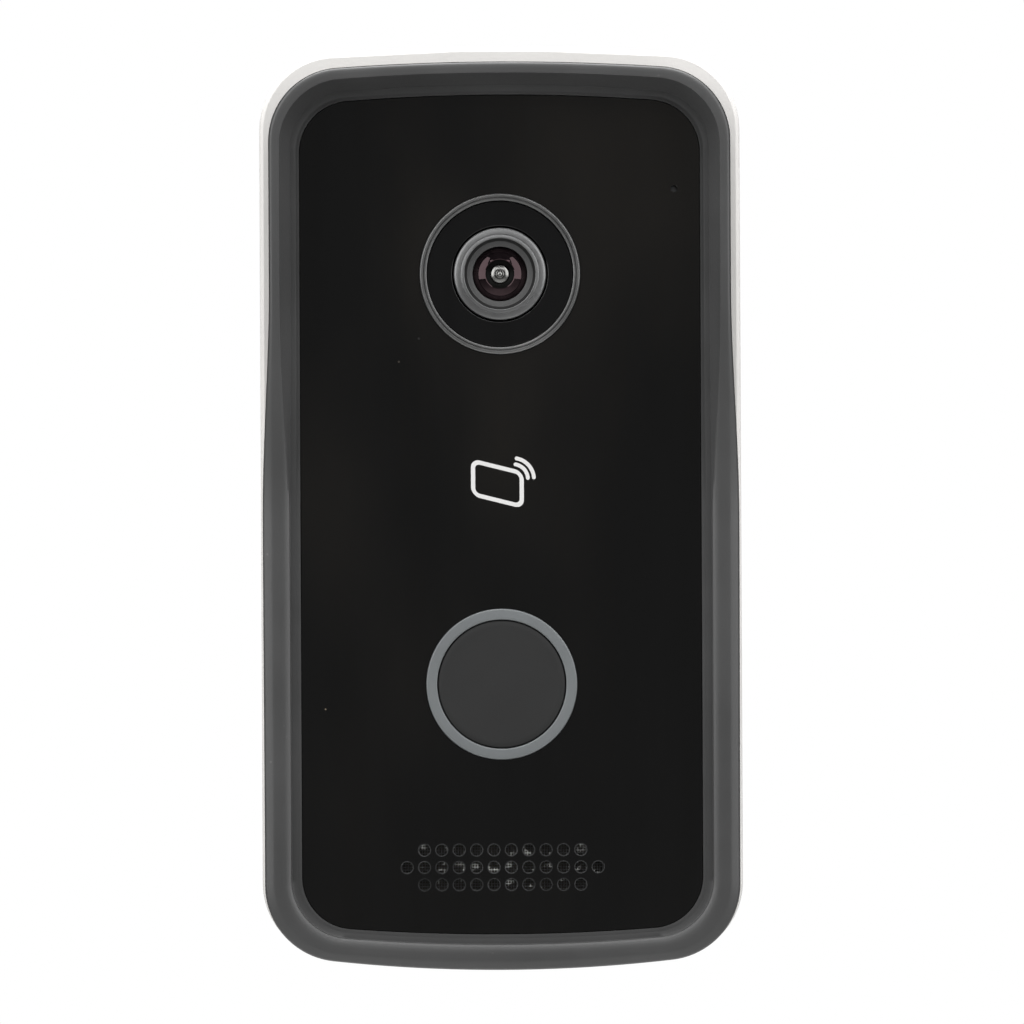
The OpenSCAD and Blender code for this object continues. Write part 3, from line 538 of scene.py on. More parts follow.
FINISHES: tuple[Finish, ...] = (
    Metal("zinc_plate", (0.66, 0.67, 0.68), 0.32, Drawn.UPRIGHT, spangle=0.35),
    Moulded("pale_plastic", (0.6, 0.587, 0.571), 0.5, 1900.0, 0.02, 0.03, dust=0.25),
    Moulded("dark_plastic", (0.0395, 0.0397, 0.0399), 0.46, 2600.0, 0.014, 0.08, dust=0.1),
    Moulded("dark_rubber", (0.02, 0.02, 0.021), 0.72, 1500.0, 0.03, 0.15, specular=0.3),
    Moulded("black_plastic", (0.022, 0.022, 0.023), 0.42, 2200.0, 0.014),
    Gloss("black_glass", (0.001, 0.001, 0.001), (0.0078, 0.0068, 0.0056), foot_shade_level=0.35),
    Printed("white_ink", (0.58, 0.575, 0.57), 0.42),
    Metal("grey_trim", (0.165, 0.166, 0.165), 0.38, Drawn.NONE, metallic=0.8),
    Gloss("black_window", (0.001, 0.001, 0.0012), (0.002, 0.002, 0.002), 0.035, 0.0),
    Metal("lens_metal", (0.145, 0.146, 0.147), 0.38, Drawn.NONE, metallic=0.8),
    Coated("coated_glass", (0.012, 0.006, 0.012), (0.62, 0.34, 0.42), 0.5, 1.75),
    Coated("filter_glass", (0.25, 0.4, 0.44), (0.5, 0.8, 0.9), 0.4, 1.6),
    Metal("copper", (0.72, 0.36, 0.18), 0.3, Drawn.ACROSS),
    Coated("sensor_silicon", (0.05, 0.12, 0.1), (0.3, 0.7, 0.55), 1.0, 2.2, 0.12),
    Laminate("circuit_board", (0.012, 0.09, 0.035), (0.78, 0.6, 0.32)),
    Metal("screw_steel", (0.58, 0.58, 0.59), 0.3, Drawn.NONE),
    Moulded("led_resin", (0.6, 0.58, 0.5), 0.18, 900.0, 0.003, glow=0.3),
    Moulded("button_plastic", (0.0165, 0.0167, 0.0168), 0.6, 3400.0, 0.01, 0.05, specular=0.25),
    Moulded("light_ring", (0.13, 0.139, 0.143), 0.42, 2600.0, 0.004, 0.04, glow=0.2),
    Moulded("white_plastic", (0.68, 0.67, 0.64), 0.38, 2200.0, 0.008, 0.03),
    # The speaker cloth's last colour is its painted glint: bright patches that stand for glints on
    # the wire mesh.
    Woven("speaker_cloth", (0.075, 0.075, 0.074), 700.0, 0.35, 0.02, (0.95, 0.95, 0.92)),
    Woven("speaker_paper", (0.09, 0.075, 0.055), 90.0, 0.8, 0.02),
    Metal("magnet_steel", (0.5, 0.51, 0.53), 0.34, Drawn.NONE, spangle=0.1),
    Moulded("chip_resin", (0.018, 0.018, 0.02), 0.5, 4200.0, 0.008),
    Metal("shield_steel", (0.6, 0.6, 0.61), 0.28, Drawn.ACROSS, spangle=0.1),
    Moulded("flex_film", (0.42, 0.22, 0.06), 0.3, 600.0, 0.004),
    Moulded("relay_plastic", (0.03, 0.09, 0.26), 0.4, 2000.0, 0.01),
    Moulded("capacitor_can", (0.05, 0.06, 0.085), 0.28, 900.0, 0.004),
    Metal("gold_plate", (0.9, 0.66, 0.3), 0.22, Drawn.UPRIGHT),
    Moulded("green_plastic", (0.04, 0.26, 0.085), 0.38, 1900.0, 0.01),
    Printed("label_paper", (0.72, 0.72, 0.7), 0.55, rules=0.8),
    Coated("lens_coating", (0.002, 0.0015, 0.002), (1.0, 0.68, 0.73), 1.0, 1.38, 0.03, painted_reflection=0.01),
    Moulded("iris_blades", (0.002, 0.002, 0.0018), 0.35, 2600.0, 0.004, specular=0.03),
    Moulded("barrel_mouth", (0.012, 0.012, 0.012), 0.5, 2600.0, 0.004, specular=0.2),
    Metal("pupil_glass", (0.19, 0.19, 0.183), 0.24, Drawn.NONE, line_mm=0.001),
    Moulded("ground_edge", (0.07, 0.071, 0.072), 0.36, 3600.0, 0.02, 0.5),
)


# ------------------------------------------------------------------ mesh steps


class Bench:
    """The modelling steps that every piece is made with."""

    @staticmethod
    def clear() -> None:
        """Goes back to object mode with nothing selected."""
        if bpy.context.object is not None and bpy.context.object.mode != "OBJECT":
            bpy.ops.object.mode_set(mode="OBJECT")
        bpy.ops.object.select_all(action="DESELECT")

    @staticmethod
    def pick(piece: Piece) -> None:
        """Selects one object alone."""
        Bench.clear()
        piece.select_set(True)
        bpy.context.view_layer.objects.active = piece

    @staticmethod
    def put(mesh: bmesh.types.BMesh, order: Sequence[int], ring: Sequence[Point]) -> None:
        """Moves the numbered vertices to a ring's points, given in millimetres."""
        for index, spot in zip(order, ring):
            mesh.verts[index].co = Vector(spot) * MM

    @staticmethod
    def loft(name: str, rings: Sequence[Sequence[Point]], ends: Ends) -> Piece:
        """Extrudes a circle's edges ring by ring through the given rings.

        Args:
            name: Name of the new object.
            rings: Closed rings with the same number of points, in millimetres.
            ends: What closes the first and the last ring.

        Returns:
            The new object, with its normals outwards.
        """
        Bench.clear()
        count = len(rings[0])
        stack = [*rings, rings[0]] if ends is Ends.JOINED else list(rings)
        bpy.ops.mesh.primitive_circle_add(vertices=count, radius=MM, fill_type="NOTHING")
        piece = bpy.context.object
        piece.name = piece.data.name = name
        bpy.ops.object.mode_set(mode="EDIT")
        mesh = bmesh.from_edit_mesh(piece.data)
        mesh.verts.ensure_lookup_table()
        order = list(range(count))
        first = order
        Bench.put(mesh, order, stack[0])
        for ring in stack[1:]:
            bpy.ops.mesh.extrude_region_move()
            mesh = bmesh.from_edit_mesh(piece.data)
            mesh.verts.index_update()
            mesh.verts.ensure_lookup_table()
            order = [Bench.follower(mesh.verts[index]) for index in order]
            mesh.verts.ensure_lookup_table()
            Bench.put(mesh, order, ring)
        if ends is Ends.CAPPED:
            for loop in (first, order):
                mesh.faces.new([mesh.verts[index] for index in loop])
        bmesh.update_edit_mesh(piece.data)
        bpy.ops.mesh.select_all(action="SELECT")
        bpy.ops.mesh.remove_doubles(threshold=LOFT_MERGE_MM * MM)
        bpy.ops.mesh.normals_make_consistent(inside=False)
        Bench.home(piece)
        return piece

    @staticmethod
    def follower(vertex: bmesh.types.BMVert) -> int:
        """Number of the new vertex that was extruded from an old one."""
        return next(
            edge.other_vert(vertex).index
            for edge in vertex.link_edges
            if edge.other_vert(vertex).select
        )

    @staticmethod
    def home(piece: Piece) -> None:
        """Leaves edit mode with the object at the origin, unturned and unscaled."""
        bpy.ops.object.mode_set(mode="OBJECT")
        Bench.pick(piece)
        bpy.ops.object.transform_apply(location=True, rotation=True, scale=True)

    @staticmethod
    def turn(
        name: str,
        centre: Flat,
        profile: Sequence[Flat],
        ends: Ends,
        steps: int,
        sharp: Optional[float] = None,
    ) -> Piece:
        """Turned piece about an axis that points out of the wall.

        Args:
            name: Name of the new object.
            centre: X and Z of the axis.
            profile: Points as radius and depth.
            ends: JOINED for a ring, POLES where the profile meets the axis.
            steps: Points round the circle.
            sharp: Angle above which edges stay sharp, or None for no smoothing.

        Returns:
            The new object.
        """
        angles = [2 * math.pi * step / steps for step in range(steps)]
        rings = [
            [(centre[0] + r * math.cos(a), -d, centre[1] + r * math.sin(a)) for a in angles]
            for r, d in profile
        ]
        piece = Bench.loft(name, rings, ends)
        if sharp is not None:
            Bench.smooth(piece, sharp)
        return piece

    @staticmethod
    def refine(name: str, node: str, width: float, angle: float = 35.0, segments: int = 2) -> Piece:
        """Copy of a CAD node with merged faces and rounded edges.

        Args:
            name: Name of the new object.
            node: The CAD node that is copied.
            width: Width of the rounding in millimetres.
            angle: Smallest angle of an edge that is rounded, in degrees.
            segments: Faces across each rounding.

        Returns:
            The new object.
        """
        piece = Bench.merged_copy(name, node)
        Bench.round_edges(piece, width, angle, segments)
        Bench.smooth(piece)
        return piece

    @staticmethod
    def merged_copy(name: str, node: str, flats: bool = True) -> Piece:
        """Copy of a CAD node with its doubles merged and, if asked, its flat faces joined."""
        piece = bpy.data.objects.new(name, frame["nodes"][node].data.copy())
        piece.data.name = name
        bpy.context.scene.collection.objects.link(piece)
        Bench.edit(piece, bpy.ops.mesh.remove_doubles, threshold=MERGE_MM * MM)
        if flats:
            Bench.join_flats(piece)
        return piece

    @staticmethod
    def edit(piece: Piece, operation: Callable[..., Any], **settings: Any) -> None:
        """Runs one edit-mode operation on the whole of a piece."""
        Bench.pick(piece)
        bpy.ops.object.mode_set(mode="EDIT")
        bpy.ops.mesh.select_all(action="SELECT")
        operation(**settings)
        bpy.ops.object.mode_set(mode="OBJECT")

    @staticmethod
    def join_flats(piece: Piece) -> None:
        """Joins the triangles of each flat face."""
        Bench.edit(piece, bpy.ops.mesh.dissolve_limited, angle_limit=math.radians(FLAT_ANGLE))

    @staticmethod
    def modify(piece: Piece, kind: str, **settings: Any) -> None:
        """Adds one modifier to a piece, sets it and applies it."""
        Bench.pick(piece)
        modifier = piece.modifiers.new(kind.lower(), kind)
        for key, value in settings.items():
            setattr(modifier, key, value)
        bpy.ops.object.modifier_apply(modifier=modifier.name)

    @staticmethod
    def round_edges(piece: Piece, width: float, angle: float = 35.0, segments: int = 2) -> None:
        """Rounds every edge sharper than an angle, by a width in millimetres."""
        Bench.modify(
            piece, "BEVEL", width=width * MM, segments=segments, limit_method="ANGLE",
            angle_limit=math.radians(angle), use_clamp_overlap=True,
        )

    @staticmethod
    def smooth(piece: Piece, angle: float = 50.0) -> None:
        """Smooth shading, with edges above an angle kept sharp and flats kept flat."""
        Bench.pick(piece)
        bpy.ops.object.shade_smooth_by_angle(angle=math.radians(angle))
        Bench.modify(piece, "WEIGHTED_NORMAL", keep_sharp=True)

    @staticmethod
    def join(pieces: Sequence[Piece], name: str) -> Piece:
        """Joins objects into the first one."""
        Bench.pick(pieces[0])
        for piece in pieces:
            piece.select_set(True)
        bpy.ops.object.join()
        pieces[0].name = pieces[0].data.name = name
        return pieces[0]


def soften(profile: Sequence[Flat], radius: float, steps: int) -> list[Flat]:
    """Rounds the corners of a closed profile.

    Args:
        profile: Points as radius and depth, in millimetres.
        radius: Length of each edge that the rounding may take.
        steps: Points on each rounded corner.

    Returns:
        The profile with curved corners.
    """
    count = len(profile)
    made: list[Flat] = []
    for index, corner in enumerate(profile):
        here = Vector(corner)
        ways = [Vector(profile[other % count]) - here for other in (index - 1, index + 1)]
        start, end = (here + way * min(0.45, radius / max(1e-6, way.length)) for way in ways)
        for step in range(steps + 1):
            t = step / steps
            spot = start * (1 - t) ** 2 + here * (2 * t * (1 - t)) + end * t**2
            made.append((spot.x, spot.y))
    return made


def stepped(corner: Flat, *steps: Flat) -> list[Flat]:
    """Points of a profile, each given by its distance from one corner."""
    return [(corner[0] + out, corner[1] + rise) for out, rise in steps]


def mix(first: float, second: float, share: float) -> float:
    """Value between two values."""
    return first + (second - first) * share


def ease(value: float) -> float:
    """Smooth step from 0 to 1."""
    held = min(1.0, max(0.0, value))
    return held * held * (3 - 2 * held)


def span(node: str) -> tuple[Vector, Vector]:
    """Lowest and highest corner of a CAD node, in millimetres."""
    low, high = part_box(node)
    return low / MM, high / MM


def radius_of(node: str) -> float:
    """Half the width of a round CAD node, in millimetres."""
    low, high = span(node)
    return (high.x - low.x) / 2


def centre_of(node: str) -> Flat:
    """X and Z of the middle of a CAD node, in millimetres."""
    low, high = span(node)
    return ((low.x + high.x) / 2, (low.z + high.z) / 2)


def front_of(node: str) -> float:
    """Greatest depth of a CAD node, in millimetres."""
    return -span(node)[0].y


def back_of(node: str) -> float:
    """Least depth of a CAD node, in millimetres."""
    return -span(node)[1].y


# ------------------------------------------------------------------ sub-assemblies


@dataclass
class SubAssembly:
    """Base of the sub-assemblies: it keeps the finishes by name and hands in finished pieces."""

    finishes: dict[str, Material]

    def hand_in(
        self,
        piece: Piece,
        slot: str,
        *nodes: str,
        body: Body = Body.UNIT,
        look: Optional[str] = None,
    ) -> None:
        """Dresses a piece and fixes it to a body.

        Args:
            piece: The finished object.
            slot: The record's material slot that it takes its finish from.
            nodes: The CAD nodes that it stands for.
            body: The body that it moves with.
            look: Name of the finish where it isn't the slot's own.
        """
        piece.data.materials.clear()
        piece.data.materials.append(self.finishes[look or slot])
        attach(piece, body.value)
        if nodes:
            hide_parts(*nodes)
        LOG.info("%s: %d faces on %s", piece.name, len(piece.data.polygons), body.value)

    def paint(
        self, piece: Piece, look: str, chosen: Callable[[bpy.types.MeshPolygon], bool]
    ) -> None:
        """Gives some of a piece's faces a second finish."""
        piece.data.materials.append(self.finishes[look])
        for face in piece.data.polygons:
            if chosen(face):
                face.material_index = len(piece.data.materials) - 1


@dataclass
class Studio:
    """Camera, soft boxes, world and floor. Distances are metres."""

    distance: float = 1.2
    aim: Point = (0.00158, -0.027, 0.00067)
    roll: float = 0.27
    lens: float = 293.6
    floor_z: float = -0.6
    floor_radius: float = 2.5
    floor_glow: float = 0.14
    surround: float = 0.135

    def build(self) -> None:
        """Builds everything round the object."""
        self.camera()
        self.world()
        for name, place, size, radiance in (
            ("left_box", (-0.64, -0.42, 0.27), (0.56, 0.85), 4.0),
            ("right_box", (0.64, -0.42, 0.27), (0.56, 0.85), 3.8),
            ("top_box", (0.0, 0.05, 0.62), (0.8, 0.75), 6.8),
            ("front_box", (0.0, -0.63, 0.49), (0.7, 0.13), 4.6),
            ("back_box", (0.0, 0.85, 0.45), (0.8, 0.45), 1.6),
        ):
            self.soft_box(name, place, size, radiance)
        self.floor()

    def camera(self) -> None:
        """Long lens in front of the glass."""
        data = bpy.data.cameras.new("front_camera")
        data.lens = self.lens
        data.sensor_width = 36.0
        data.clip_start, data.clip_end = 0.05, 20.0
        camera = bpy.data.objects.new("front_camera", data)
        bpy.context.scene.collection.objects.link(camera)
        camera.location = (self.aim[0], self.aim[1] - self.distance, self.aim[2])
        camera.rotation_euler = (math.radians(90), math.radians(self.roll), 0.0)
        bpy.context.scene.camera = camera

    def world(self) -> None:
        """White to the camera and a dim even light to everything else."""
        world = bpy.data.worlds.new("studio")
        world.use_nodes = True
        bpy.context.scene.world = world
        tree = world.node_tree
        tree.nodes.clear()
        seen, light = (tree.nodes.new("ShaderNodeBackground") for _ in range(2))
        seen.inputs[0].default_value = (1.0, 1.0, 1.0, 1.0)
        light.inputs[0].default_value = (1.0, 1.0, 0.995, 1.0)
        light.inputs[1].default_value = self.surround
        path = tree.nodes.new("ShaderNodeLightPath")
        either = tree.nodes.new("ShaderNodeMixShader")
        output = tree.nodes.new("ShaderNodeOutputWorld")
        tree.links.new(path.outputs["Is Camera Ray"], either.inputs[0])
        tree.links.new(light.outputs[0], either.inputs[1])
        tree.links.new(seen.outputs[0], either.inputs[2])
        tree.links.new(either.outputs[0], output.inputs[0])

    def soft_box(self, name: str, place: Point, size: Flat, radiance: float) -> None:
        """Rectangular light aimed at the object.

        Args:
            name: Name of the light.
            place: Its middle.
            size: Width and height.
            radiance: Brightness of its face.
        """
        data = bpy.data.lights.new(name, "AREA")
        data.shape = "RECTANGLE"
        data.size, data.size_y = size
        data.energy = radiance * math.pi * size[0] * size[1]
        light = bpy.data.objects.new(name, data)
        bpy.context.scene.collection.objects.link(light)
        light.location = place
        light.visible_camera = False
        light.rotation_euler = (-Vector(place)).to_track_quat("-Z", "Y").to_euler()

    def floor(self) -> None:
        """Round pale floor below the object."""
        Bench.clear()
        bpy.ops.mesh.primitive_circle_add(
            vertices=128, radius=self.floor_radius, fill_type="NGON", location=(0, 0, self.floor_z)
        )
        floor = bpy.context.object
        floor.name = "studio_floor"
        bpy.ops.object.transform_apply(location=True)
        graph = Graph("pale_floor")
        speckle = graph.noise(graph.place(), 9.0, 4.0)
        floor.data.materials.append(graph.dress({
            "Base Color": graph.blend(speckle, (0.82, 0.82, 0.815), (0.86, 0.86, 0.855)),
            "Roughness": 0.6 + speckle * 0.1,
            "Emission Color": (1.0, 1.0, 0.995),
            "Emission Strength": self.floor_glow,
        }))


@dataclass
class FrontFrame(SubAssembly):
    """Dark frame with its rain hood, lofted round the glass."""

    shoulder: float = 1.2
    taper: float = 0.1
    hood_rise: float = 4.7
    frame_back_d: float = 14.4
    top_bow_r: float = 340.0
    low_bow_r: float = 220.0
    glass_bow_r: float = 290.0
    top_corner_r: float = 10.5
    low_corner_r: float = 11.0
    glass_corner_r: float = 7.5
    rim_side: float = 5.45
    rim_top: float = 4.45
    rim_low: float = 5.1
    shoulder_high: float = 33.0
    shoulder_low: float = 0.0
    wall: float = 2.4
    ledge_w: float = 2.2
    ledge_front_d: float = 23.15
    ledge_back_d: float = 21.0
    lip_rise: float = 0.12
    groove: float = 0.04
    side_steps: int = 64
    corner_steps: int = 20
    edge_steps: int = 20

    def build(self) -> None:
        """Makes the frame."""
        low, high = span("front_frame")
        self.top, self.low, self.half = high.z, low.z, high.x
        self.hood_d = -low.y
        self.rim_d = self.hood_d - self.hood_rise
        self.glass_d = front_of("front_glass")
        piece = Bench.loft("front_frame_moulding", self.rings(), Ends.JOINED)
        Bench.smooth(piece, 42.0)
        self.hand_in(piece, "dark_plastic", "front_frame")

    def hood_share(self, z: float) -> float:
        """How much of the hood there is at a height."""
        return ease((z - self.shoulder_low) / (self.shoulder_high - self.shoulder_low))

    def outline(
        self, narrow: float, wide: float, taper: float, ends: Flat, corners: Flat, bows: Flat
    ) -> list[Vector]:
        """Points round a closed outline with bowed ends, from the lower right upwards.

        Args:
            narrow: Half width above the shoulders.
            wide: Half width below them.
            taper: How much narrower the lower corners are.
            ends: Height of the top and of the foot.
            corners: Corner radius at the top and at the foot.
            bows: Radius of the bowed top and of the bowed foot.

        Returns:
            The points.
        """
        top, low = ends
        r_top, r_low = corners
        top_bow, low_bow = bows
        low_half = wide - taper
        top_c = top - top_bow + math.sqrt((top_bow - r_top) ** 2 - (narrow - r_top) ** 2)
        low_c = low + low_bow - math.sqrt((low_bow - r_low) ** 2 - (low_half - r_low) ** 2)
        top_a = math.degrees(math.asin((narrow - r_top) / (top_bow - r_top)))
        low_a = math.degrees(math.asin((low_half - r_low) / (low_bow - r_low)))

        def side(way: int, start: float, end: float) -> list[Vector]:
            """Points up or down one side."""
            heights = [mix(start, end, i / self.side_steps) for i in range(self.side_steps)]
            return [
                Vector((way * (mix(wide, narrow, self.hood_share(z)) - taper * ease(z / low_c)), z))
                for z in heights
            ]

        return [
            *side(1, low_c, top_c),
            *arc((narrow - r_top, top_c), r_top, (0, 90 - top_a), self.corner_steps),
            *arc((0, top - top_bow), top_bow, (90 - top_a, 90 + top_a), self.edge_steps),
            *arc((r_top - narrow, top_c), r_top, (90 + top_a, 180), self.corner_steps),
            *side(-1, top_c, low_c),
            *arc((r_low - low_half, low_c), r_low, (180, 270 - low_a), self.corner_steps),
            *arc((0, low + low_bow), low_bow, (270 - low_a, 270 + low_a), self.edge_steps),
            *arc((low_half - r_low, low_c), r_low, (270 + low_a, 360), self.corner_steps),
        ]

    def sections(self) -> tuple[list[Point], list[Point]]:
        """Sections of the low rim and of the hood, with the same number of points.

        Returns:
            Points as share of the way to the glass, distance further inwards, and depth.
        """
        rim, hood, lip = self.rim_d, self.hood_d, self.glass_d + self.lip_rise
        groove = lip - self.groove
        foot = [
            (0.84, 0, lip), (0.865, 0, groove), (0.91, 0, groove), (0.935, 0, lip),
            (0.992, 0, lip), (1, 0, self.glass_d),
        ]
        low = [
            (0, 0.05, self.frame_back_d), (0, 0, rim - 7), (0, 0, rim - 1.6),
            (0.01, 0, rim - 0.95), (0.03, 0, rim - 0.65), (0.06, 0, rim - 0.47),
            (0.22, 0, rim - 0.1), (0.30, 0, rim - 0.02), (0.38, 0, rim),
            (0.47, 0, rim - 0.01), (0.54, 0, rim - 0.06), (0.60, 0, rim - 0.14),
            (0.66, 0, rim - 0.27), (0.71, 0, rim - 0.45), (0.73, 0, lip + 0.02), (0.735, 0, lip),
        ]
        high = [
            (0, 0.05, self.frame_back_d), (0, 0, rim - 7), (0, 0, hood - 1.4),
            (0.006, 0, hood - 0.8), (0.02, 0, hood - 0.42), (0.045, 0, hood - 0.2),
            (0.09, 0, hood - 0.07), (0.15, 0, hood - 0.02), (0.21, 0, hood),
            (0.26, 0, hood), (0.30, 0, hood), (0.33, 0, hood - 0.005),
            (0.36, 0, hood - 0.02), (0.375, 0, hood - 0.5), (0.655, 0, lip + 0.5), (0.70, 0, lip),
        ]
        back = [
            (1, 0, self.ledge_front_d), (1, self.ledge_w, self.ledge_front_d),
            (1, self.ledge_w, self.ledge_back_d), (0, self.wall, self.ledge_back_d),
            (0, self.wall, self.frame_back_d),
        ]
        return [*curved(low, 1, 12, 3), *foot, *back], [*curved(high, 1, 12, 3), *foot, *back]

    def rings(self) -> list[list[Point]]:
        """One ring of points for each point of the section."""
        edge = self.outline(
            self.half - self.shoulder, self.half, self.taper, (self.top, self.low),
            (self.top_corner_r, self.low_corner_r), (self.top_bow_r, self.low_bow_r),
        )
        glass_half = self.half - self.rim_side
        seat = self.outline(
            glass_half, glass_half, 0.0, (self.top - self.rim_top, self.low + self.rim_low),
            (self.glass_corner_r, self.glass_corner_r), (self.glass_bow_r, self.glass_bow_r),
        )
        edge_in, seat_in = inward(edge), inward(seat)
        low, high = self.sections()
        rings: list[list[Point]] = []
        for first, second in zip(low, high):
            ring: list[Point] = []
            for i, spot in enumerate(edge):
                share = self.hood_share(spot.y)
                part, further, depth = (mix(a, b, share) for a, b in zip(first, second))
                across = seat_in[i] if part > 0.99 else edge_in[i]
                at = spot.lerp(seat[i], part) + across * further
                ring.append((at.x, -min(depth, self.hood_d), at.y))
            rings.append(ring)
        return rings


def arc(centre: Flat, radius: float, sweep: Flat, steps: int) -> list[Vector]:
    """Points on an arc, without its last one. Angles are degrees."""
    angles = [math.radians(mix(sweep[0], sweep[1], i / steps)) for i in range(steps)]
    return [
        Vector((centre[0] + radius * math.cos(a), centre[1] + radius * math.sin(a))) for a in angles
    ]


def inward(points: Sequence[Vector]) -> list[Vector]:
    """Unit vectors that point into an outline at each of its points."""
    count = len(points)
    made = []
    for i in range(count):
        along = (points[(i + 1) % count] - points[i - 1]).normalized()
        made.append(Vector((-along.y, along.x)))
    return made


def curved(points: Sequence[Point], start: int, end: int, steps: int) -> list[Point]:
    """Fills a stretch of a section with a smooth curve through its points.

    Args:
        points: The section.
        start: First point of the stretch.
        end: Last point of the stretch.
        steps: Points for each old one.

    Returns:
        The finer section.
    """
    made: list[Point] = list(points[:start])
    for i in range(start, end):
        a, b = points[max(start, i - 1)], points[i]
        c, d = points[i + 1], points[min(end, i + 2)]
        for step in range(steps):
            t = step / steps
            made.append(tuple(
                0.5 * (2 * q + (r - p) * t + (2 * p - 5 * q + 4 * r - s) * t**2
                       + (3 * q - p - 3 * r + s) * t**3)
                for p, q, r, s in zip(a, b, c, d)
            ))
    return [*made, *points[end:]]


@dataclass
class GlassFront(SubAssembly):
    """Black front glass and the card reader's printed mark."""

    hole_dia: float = 1.65
    hole_pitch: float = 2.5
    card: Flat = (7.6, 5.4)
    card_r: float = 1.3
    lean: float = 14.2
    line_w: float = 0.61
    wave_at: Flat = (2.2, 0.6)
    waves: Flat = (2.2, 3.07)
    wave_half: float = 0.27
    wave_sweep: Flat = (5.0, 79.0)
    ink_t: float = 0.04
    ink_sink: float = 0.005
    rows: tuple[int, ...] = (10, 12, 10)
    ground_slope: float = 0.97

    def build(self) -> None:
        """Makes the glass and the mark."""
        glass = Bench.merged_copy("front_glass_pane", "front_glass")
        Bench.smooth(glass, 30.0)
        self.hand_in(glass, "black_glass", "front_glass")
        self.paint(glass, "ground_edge", lambda face: abs(face.normal.y) < self.ground_slope)
        self.hole_rims()
        self.mark()

    def hole_rims(self) -> None:
        """Ground rims round the grille's holes, one turned and then copied."""
        depth = front_of("front_glass")
        middle = centre_of("speaker_mesh")[1]
        profile = stepped(
            (self.hole_dia / 2, depth), (0, -0.4), (-0.02, -0.15), (0.01, -0.04), (0.06, 0.003),
            (0.09, 0.001), (0.09, -0.4),
        )
        first = Bench.turn("grille_rims", (0.0, 0.0), profile, Ends.JOINED, 32)
        pieces = []
        for row, count in enumerate(self.rows, -(len(self.rows) // 2)):
            for place in range(count):
                rim = first.copy()
                rim.data = first.data.copy()
                bpy.context.scene.collection.objects.link(rim)
                across = (place - (count - 1) / 2) * self.hole_pitch
                rim.location = (across * MM, 0.0, (middle + row * self.hole_pitch) * MM)
                pieces.append(rim)
        bpy.data.objects.remove(first)
        rims = Bench.join(pieces, "grille_rims")
        Bench.pick(rims)
        bpy.ops.object.transform_apply(location=True)
        Bench.smooth(rims, 50.0)
        self.hand_in(rims, "black_glass", look="ground_edge")

    def mark(self) -> None:
        """Card outline with two waves at its corner."""
        low, high = span("reader_icon")
        front_d = -high.y
        left = low.x + self.card[0] / 2
        slope = math.tan(math.radians(self.lean))
        foot = low.z + self.card[1] / 2 + self.card[0] / 2 * slope
        outer = self.rounded(self.card, self.card_r, (left, foot), slope)
        inner_size = (self.card[0] - 2 * self.line_w, self.card[1] - 2 * self.line_w)
        inner = self.rounded(inner_size, self.card_r - self.line_w, (left, foot), slope)
        back, front = front_d - self.ink_sink, front_d + self.ink_t
        sides = ((outer, back), (outer, front), (inner, front), (inner, back))
        rings = [self.raised(outline, depth) for outline, depth in sides]
        pieces = [Bench.loft("reader_mark_card", rings, Ends.JOINED)]
        centre = (left + self.wave_at[0], foot + self.wave_at[1])
        for radius in self.waves:
            stroke = self.wave(centre, radius)
            rings = [self.raised(stroke, back), self.raised(stroke, front)]
            pieces.append(Bench.loft("reader_mark_wave", rings, Ends.CAPPED))
        mark = Bench.join(pieces, "reader_mark")
        Bench.smooth(mark, 30.0)
        self.hand_in(mark, "white_ink", "reader_icon")

    def rounded(self, size: Flat, radius: float, at: Flat, slope: float) -> list[Flat]:
        """Leaning rectangle with round corners."""
        half_w, half_h = size[0] / 2 - radius, size[1] / 2 - radius
        spots: list[Vector] = []
        for number, (right, up) in enumerate(((1, 1), (-1, 1), (-1, -1), (1, -1))):
            corner, start = (right * half_w, up * half_h), 90 * number
            spots += arc(corner, radius, (start, start + 90), 12)
            spots += arc(corner, radius, (start + 90, start + 91), 1)
        return [(at[0] + s.x, at[1] + s.y - s.x * slope) for s in spots]

    def wave(self, centre: Flat, radius: float) -> list[Flat]:
        """Arc stroke with round ends."""
        (first, last), half = self.wave_sweep, self.wave_half

        def on(angle: float) -> Flat:
            """Point on the middle line."""
            return tuple(arc(centre, radius, (angle, angle), 1)[0])

        spots = [
            *arc(centre, radius + half, (first, last), 16),
            *arc(on(last), half, (last, last + 180), 10),
            *arc(centre, radius - half, (last, first), 16),
            *arc(on(first), half, (first + 180, first + 360), 10),
        ]
        return [(s.x, s.y) for s in spots]

    def raised(self, outline: Sequence[Flat], depth: float) -> list[Point]:
        """An outline at a depth."""
        return [(x, -depth, z) for x, z in outline]


